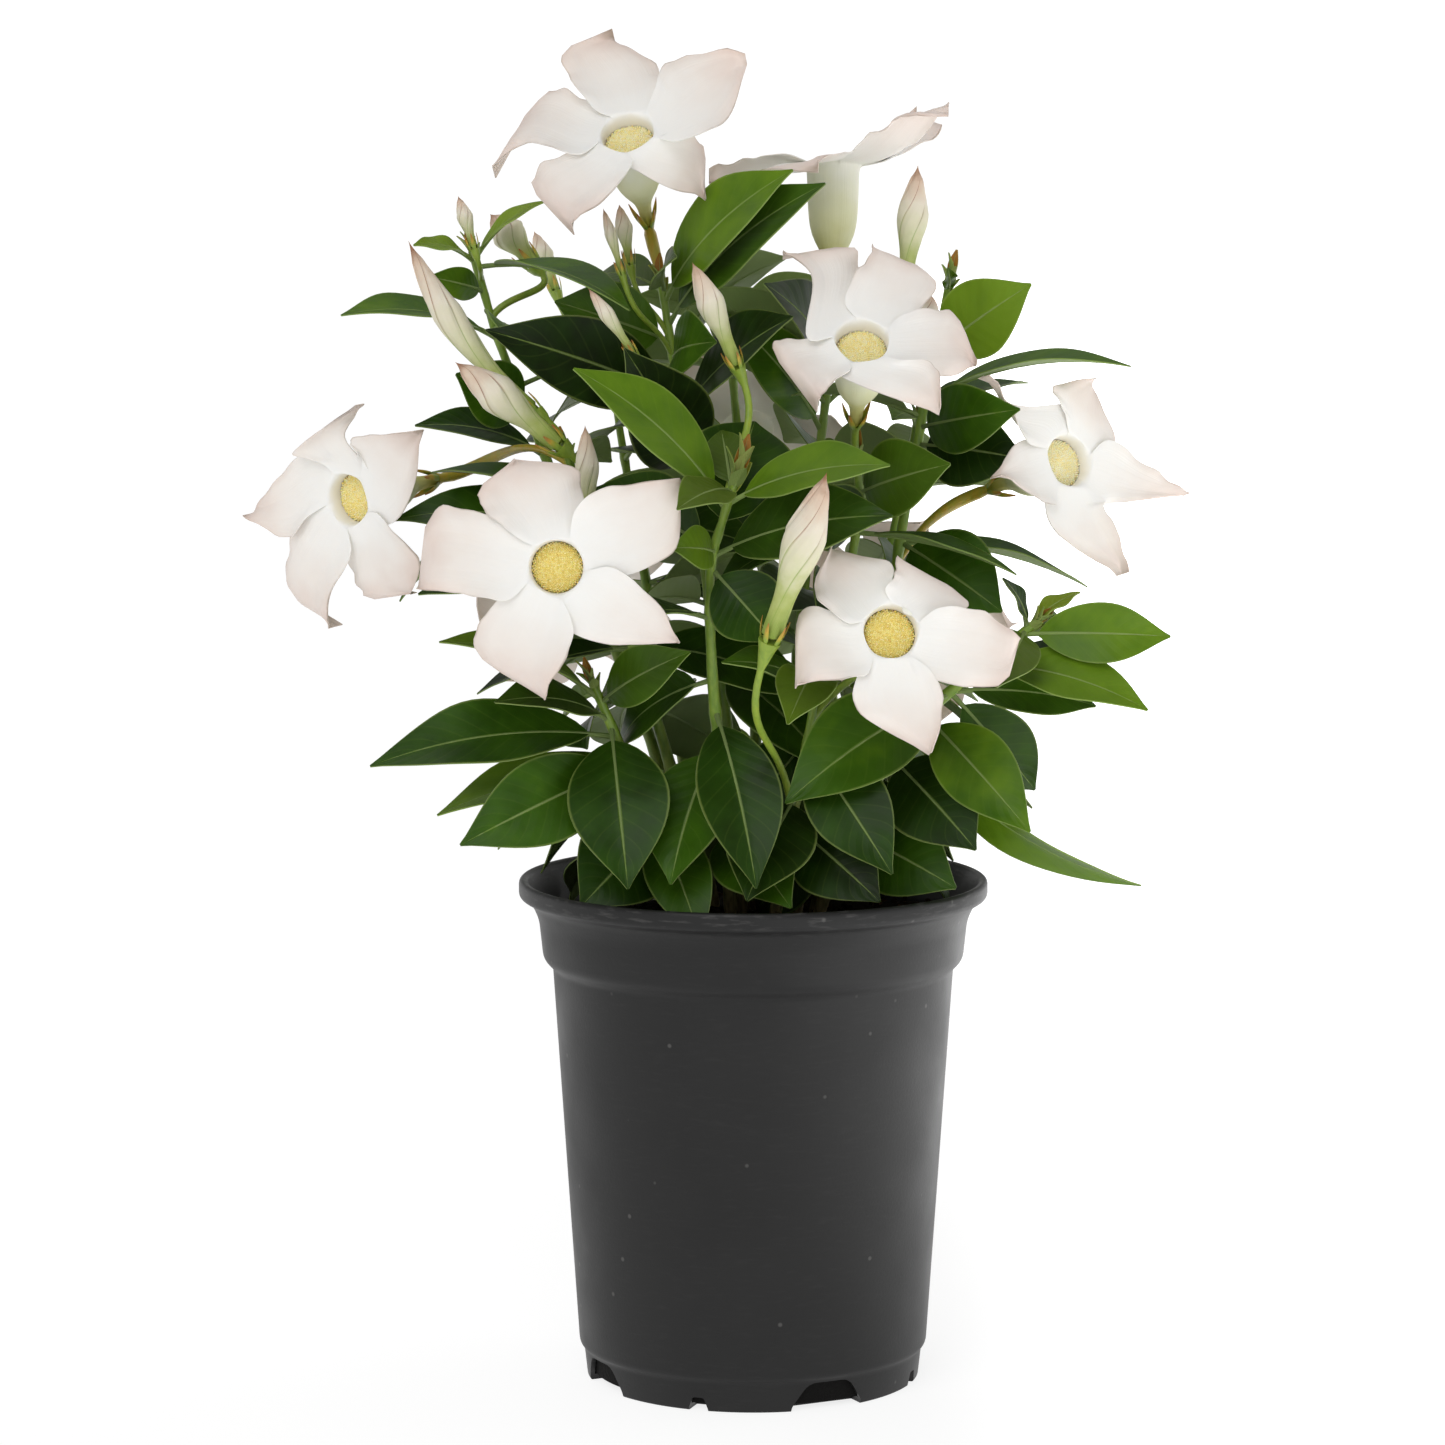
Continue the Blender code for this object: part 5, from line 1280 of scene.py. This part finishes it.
def green_bark():
    """Smooth young wood: yellow-green, flushed orange-brown in the sun, grey-brown at the foot."""
    material, put = new_finish("green_bark", {
        "Specular IOR Level": 0.45, "Subsurface Weight": 0.05, "Subsurface Scale": 0.001,
    })
    place = put("TexCoord", out="Object")
    flush = put("Attribute", out="Fac", attribute_name="flush")
    woody = put("Attribute", out="Fac", attribute_name="woody")
    stretched = put("Mapping", {"Vector": place, "Scale": (1.0, 1.0, 0.2)})
    streaks = put("TexNoise", {"Vector": stretched, "Scale": 1 / (1.6 * MM), "Detail": 3.0})
    uneven = put("Math", {0: streaks, 1: 0.5, 2: -0.25}, operation="MULTIPLY_ADD")
    ripe = put("Math", {0: uneven, 1: flush}, operation="ADD", use_clamp=True)
    skin = put("ValToRGB", {0: ripe}, stops=[
        (0.0, "66852a"), (0.3, "8aa038"), (0.6, "b79c34"), (1.0, "a0602a")])
    old = put("ValToRGB", {0: streaks}, stops=[(0.3, "4a3b24"), (0.7, "7a6a48")])
    colour = put("Mix", {0: woody, 6: skin, 7: old}, out=2, data_type="RGBA")
    rough = put("MapRange", {0: woody, 1: 0.0, 2: 1.0, 3: 0.42, 4: 0.8})
    bump = put("Bump", {"Height": streaks, "Distance": 0.3 * MM, "Strength": 0.5})
    return feed(material, {"Base Color": colour, "Roughness": rough, "Normal": bump})


def petal_skin():
    """Soft velvety petal: white, blushed and a little bruised at tips and edges, with a green tube."""
    material, put = new_finish("petal_skin", {
        "Roughness": 0.66, "Specular IOR Level": 0.25, "Sheen Weight": 0.06, "Sheen Roughness": 0.5,
        "Subsurface Weight": 0.2, "Subsurface Scale": 0.0012, "Subsurface Radius": (1.0, 0.85, 0.7),
    })
    place = put("TexCoord", out="Object")
    flat, _, v, across = sheet_places(put)
    inner = put("Attribute", out="Fac", attribute_name="inner")
    blotch = put("TexNoise", {"Vector": place, "Scale": 1 / (12 * MM), "Detail": 3.0})
    drift = put("Math", {0: blotch, 1: 0.2, 2: -0.1}, operation="MULTIPLY_ADD")
    along = put("Math", {0: v, 1: drift}, operation="ADD")
    lobe = put("ValToRGB", {0: along}, stops=[
        (TUBE_SHARE, "f0efeb"), (0.62, "edeae5"), (0.82, "e7dfd8"), (1.0, "dac9c0")])
    edge = put("MapRange", {0: across, 1: 0.6, 2: 1.0, 3: 0.0, 4: 0.4}, **SOFT)
    far = put("MapRange", {0: along, 1: 0.55, 2: 0.95, 3: 0.0, 4: 1.0})
    blush = put("Math", {0: edge, 1: far}, operation="MULTIPLY")
    lobe = put("Mix", {0: blush, 6: lobe, 7: linear("d2bdb2")}, out=2, data_type="RGBA")
    rim = put("MapRange", {0: across, 1: 0.955, 2: 0.995, 3: 0.0, 4: 1.0})
    end = put("MapRange", {0: v, 1: 0.975, 2: 0.998, 3: 0.0, 4: 1.0})
    margin = put("Math", {0: rim, 1: end}, operation="MAXIMUM")
    dried = put("MapRange", {0: blotch, 1: 0.42, 2: 0.62, 3: 0.2, 4: 0.85})
    out_there = put("MapRange", {0: v, 1: 0.6, 2: 0.8, 3: 0.0, 4: 1.0})
    line = put("Math", {0: margin, 1: dried}, operation="MULTIPLY")
    line = put("Math", {0: line, 1: out_there}, operation="MULTIPLY")
    lobe = put("Mix", {0: line, 6: lobe, 7: linear("9b8b7a")}, out=2, data_type="RGBA")
    outside = put("ValToRGB", {0: along}, stops=[
        (0.0, "a8a33e"), (0.12, "c9c684"), (0.26, "dcdcb8"), (TUBE_SHARE, "e4e4d8"), (0.6, "e4e0da"),
        (1.0, "d9c9c0")])
    throat = put("ValToRGB", {0: v}, stops=[
        (0.0, "b8a038"), (0.28, "d9bd48"), (0.335, "dccf9c"), (0.365, "e3dfd4"), (0.43, "f0efeb")])
    in_throat = put("MapRange", {0: v, 1: 0.41, 2: 0.44, 3: 1.0, 4: 0.0})
    inside = put("Mix", {0: in_throat, 6: lobe, 7: throat}, out=2, data_type="RGBA")
    colour = put("Mix", {0: inner, 6: outside, 7: inside}, out=2, data_type="RGBA")
    stretched = put("Mapping", {"Vector": flat, "Scale": (26.0, 2.0, 1.0)})
    veins = put("TexNoise", {"Vector": stretched, "Scale": 1.0, "Detail": 2.0})
    cells = put("TexNoise", {"Vector": place, "Scale": 1 / (0.9 * MM)})
    relief = put("Math", {0: cells, 1: 0.12, 2: veins}, operation="MULTIPLY_ADD")
    bump = put("Bump", {"Height": relief, "Distance": 0.22 * MM, "Strength": 0.5})
    return feed(material, {"Base Color": colour, "Normal": bump})


def anther_pollen():
    """Matt yellow hairs and anthers, grainy with pollen."""
    material, put = new_finish("anther_pollen", {
        "Roughness": 0.9, "Specular IOR Level": 0.1, "Sheen Weight": 0.15,
        "Subsurface Weight": 0.2, "Subsurface Scale": 0.001,
    })
    place = put("TexCoord", out="Object")
    tone = put("Attribute", out="Fac", attribute_name="tone")
    grain = put("TexNoise", {"Vector": place, "Scale": 1 / (1.0 * MM), "Detail": 3.0})
    mixed = put("Math", {0: grain, 1: 0.3, 2: tone}, operation="MULTIPLY_ADD")
    halved = put("Math", {0: mixed, 1: 0.5}, operation="MULTIPLY")
    colour = put("ValToRGB", {0: halved}, stops=[
        (0.05, "e4c964"), (0.25, "f3dd82"), (0.5, "f9e8a2"), (0.95, "f7f0d2")])
    bump = put("Bump", {"Height": grain, "Distance": 0.3 * MM, "Strength": 0.8})
    return feed(material, {"Base Color": colour, "Normal": bump})


def bud_skin():
    """Furled petals: green at the foot, cream above, with brown slits where their edges wind up."""
    material, put = new_finish("bud_skin", {
        "Roughness": 0.55, "Specular IOR Level": 0.35,
        "Subsurface Weight": 0.2, "Subsurface Scale": 0.0015, "Subsurface Radius": (1.0, 0.8, 0.5),
    })
    place = put("TexCoord", out="Object")
    flat, u, v, _ = sheet_places(put)
    blotch = put("TexNoise", {"Vector": place, "Scale": 1 / (5 * MM), "Detail": 3.0})
    drift = put("Math", {0: blotch, 1: 0.24, 2: -0.12}, operation="MULTIPLY_ADD")
    along = put("Math", {0: v, 1: drift}, operation="ADD")
    skin = put("ValToRGB", {0: along}, stops=[
        (0.0, "7d9436"), (0.2, "a5b062"), (0.42, "cfceaa"), (0.66, "dcd4c2"), (0.86, "cfb7a2"),
        (1.0, "8d5f40")])
    folds = put("Math", {0: u, 1: 5.0}, operation="MULTIPLY")
    fold = put("Math", {0: folds}, operation="FRACT")
    near = put("MapRange", {0: fold, 1: 0.0, 2: 0.1, 3: 1.0, 4: 0.0}, **SOFT)
    slit = put("MapRange", {0: along, 1: 0.42, 2: 0.72, 3: 0.0, 4: 0.9})
    green = put("MapRange", {0: along, 1: 0.4, 2: 0.65, 3: 0.75, 4: 0.0})
    slits = put("Math", {0: near, 1: slit}, operation="MULTIPLY")
    greens = put("Math", {0: near, 1: green}, operation="MULTIPLY")
    colour = put("Mix", {0: slits, 6: skin, 7: linear("8a532f")}, out=2, data_type="RGBA")
    colour = put("Mix", {0: greens, 6: colour, 7: linear("7f9c3c")}, out=2, data_type="RGBA")
    stretched = put("Mapping", {"Vector": flat, "Scale": (90.0, 4.0, 1.0)})
    veins = put("TexNoise", {"Vector": stretched, "Scale": 1.0, "Detail": 2.0})
    bump = put("Bump", {"Height": veins, "Distance": 0.3 * MM, "Strength": 0.5})
    return feed(material, {"Base Color": colour, "Normal": bump})


def blown_polyethylene():
    """Blown HDPE, charcoal: satin, faintly pebbled, with dust in specks and light scuffs near the lip."""
    material, put = new_finish("blown_polyethylene", {"IOR": 1.5, "Specular IOR Level": 0.3})
    place = put("TexCoord", out="Object")
    height = put("SeparateXYZ", {0: place}, out=2)
    cloud = put("TexNoise", {"Vector": place, "Scale": 1 / (30 * MM), "Detail": 4.0})
    base = put("ValToRGB", {0: cloud}, stops=[(0.3, "141414"), (0.7, "1a1a1a")])
    specks = put("TexVoronoi", {"Vector": place, "Scale": 1 / (14 * MM)})
    dot = put("MapRange", {0: specks, 1: 0.03, 2: 0.07, 3: 0.2, 4: 0.0})
    bands = put("Mapping", {"Vector": place, "Scale": (1.0, 1.0, 6.0)})
    scrape = put("TexNoise", {"Vector": bands, "Scale": 1 / (7 * MM), "Detail": 5.0})
    worn = put("MapRange", {0: scrape, 1: 0.54, 2: 0.8, 3: 0.0, 4: 0.25})
    near_lip = put("MapRange", {0: height, 1: 168 * MM, 2: 178 * MM, 3: 0.06, 4: 1.0})
    scuffs = put("Math", {0: worn, 1: near_lip}, operation="MULTIPLY")
    colour = put("Mix", {0: dot, 6: base, 7: linear("8d8b88")}, out=2, data_type="RGBA")
    colour = put("Mix", {0: scuffs, 6: colour, 7: linear("8a8886")}, out=2, data_type="RGBA")
    satin = put("MapRange", {0: cloud, 1: 0.3, 2: 0.7, 3: 0.40, 4: 0.52})
    pebble = put("TexNoise", {"Vector": place, "Scale": 1 / (1.1 * MM), "Detail": 2.0})
    bump = put("Bump", {"Height": pebble, "Distance": 0.08 * MM, "Strength": 0.5})
    return feed(material, {"Base Color": colour, "Roughness": satin, "Normal": bump})


def peat_and_bark():
    """Dry peat and bark mix: near black and crumbly, with brown chips and white perlite, and painted shade
    that darkens it low in the pot.
    """
    material, put = new_finish("peat_and_bark", {"Roughness": 0.95, "Specular IOR Level": 0.15})
    place = put("TexCoord", out="Object")
    tone = put("Attribute", out="Fac", attribute_name="tone")
    kind = put("Attribute", out="Fac", attribute_name="kind")
    grain = put("TexNoise", {"Vector": place, "Scale": 1 / (2.2 * MM), "Detail": 5.0})
    mixed = put("Math", {0: grain, 1: tone}, operation="MULTIPLY")
    peat = put("ValToRGB", {0: mixed}, stops=[(0.0, "120d09"), (0.5, "33261b"), (1.0, "4d3a29")])
    chip = put("ValToRGB", {0: mixed}, stops=[(0.0, "2c1c12"), (1.0, "6b4a30")])
    barky = put("MapRange", {0: kind, 1: 0.2, 2: 0.4, 3: 0.0, 4: 1.0})
    white = put("MapRange", {0: kind, 1: 0.7, 2: 0.9, 3: 0.0, 4: 1.0})
    height = put("SeparateXYZ", {0: place}, out=2)
    # Painted shade: below 60 mm the mix turns near black, standing for the shaded inside of the pot seen
    # through its notches.
    low_painted_shade = put("MapRange", {0: height, 1: 15 * MM, 2: 60 * MM, 3: 1.0, 4: 0.0})
    colour = put("Mix", {0: barky, 6: peat, 7: chip}, out=2, data_type="RGBA")
    colour = put("Mix", {0: low_painted_shade, 6: colour, 7: linear("0d0c0b")}, out=2, data_type="RGBA")
    colour = put("Mix", {0: white, 6: colour, 7: linear("cfcabd")}, out=2, data_type="RGBA")
    bump = put("Bump", {"Height": grain, "Distance": 0.8 * MM, "Strength": 0.9})
    return feed(material, {"Base Color": colour, "Normal": bump})


# Stage, light and camera.

def make_stage():
    """A plain pale floor, white paper to the eye, that glows: evenly, and with a painted glow brighter to
    the right that lights the pot and that the pot mirrors.
    """
    bm = bmesh.new()
    bmesh.ops.create_circle(bm, cap_ends=True, segments=96, radius=FLOOR_RADIUS)
    paper, put = new_finish("white_paper", {
        "Roughness": 0.9, "Specular IOR Level": 0.2,
        "Base Color": linear("8c8c8c"), "Emission Color": linear("ffffff"),
    })
    # Painted light: the band of glow to the right lights the pot's right side and shows in it as a
    # reflection.
    rightward = put("SeparateXYZ", {0: put("TexCoord", out="Object")})
    rise = put("MapRange", {0: rightward, 1: GLOW_RISE[0], 2: GLOW_RISE[1]}, **SOFT)
    fall = put("MapRange", {0: rightward, 1: GLOW_FADE[0], 2: GLOW_FADE[1], 3: SIDE_GLOW, 4: 0.0})
    glow = put("Math", {0: rise, 1: fall, 2: FLOOR_GLOW}, operation="MULTIPLY_ADD")
    floor = new_object("floor", mesh_of("floor", bm))
    floor.data.materials.append(feed(paper, {"Emission Strength": glow}))


def make_lights():
    """A soft key from above in front, a side light, a top light, and a dome that is bright at its foot."""
    world = bpy.data.worlds.new("studio")
    world.use_nodes = True
    height = add_node(world, "SeparateXYZ", {0: add_node(world, "TexCoord", out="Generated")}, out=2)
    low, high = HORIZON_BAND
    strength = add_node(world, "MapRange", {0: height, 1: low, 2: high, 3: HORIZON, 4: DOME})
    sky = world.node_tree.nodes["Background"]
    sky.inputs["Color"].default_value = (1, 1, 1, 1)
    world.node_tree.links.new(strength, sky.inputs["Strength"])
    bpy.context.scene.world = world
    for name, way, angle, power in LAMPS:
        light = bpy.data.lights.new(name, "SUN")
        light.angle = math.radians(angle)
        light.energy = power
        new_object(name, light).rotation_euler = Vector(way).to_track_quat("Z", "Y").to_euler()
    bpy.context.scene.view_settings.view_transform = "Standard"


def make_camera():
    """The photograph's own viewpoint."""
    lens = bpy.data.cameras.new("camera")
    lens.sensor_width = SENSOR
    lens.lens = PICTURE_REACH / PICTURE_SIZE * SENSOR
    lens.clip_start = 0.01
    camera = new_object("camera", lens)
    camera.location = EYE
    camera.rotation_euler = (math.pi / 2 - EYE_DIP, 0, 0)
    bpy.context.scene.camera = camera


def main():
    make_camera()
    make_stage()
    make_lights()
    make_pot(blown_polyethylene())
    mix = peat_and_bark()
    make_mix(mix)
    make_crumbs(mix)
    leaf = leaf_cuticle()
    bark = green_bark()
    petal = petal_skin()
    pollen = anther_pollen()
    furled = bud_skin()
    kept = kept_leaves({name: stem_path(name) for name in STEMS})
    for name in STEMS:
        fine = stem_path(name, FINE_STEP)
        make_leaves(name, leaf_blades(name, kept[name], fine), fine, leaf)
        make_wood(name, fine, {round(root.z, 4) for root, *_ in kept[name]}, bark)
    for bloom in BLOOMS:
        make_corolla(bloom, petal)
        make_throat(bloom, pollen)
        make_anthers(bloom, pollen)
    for bud in BUDS:
        make_bud(bud, furled)


main()
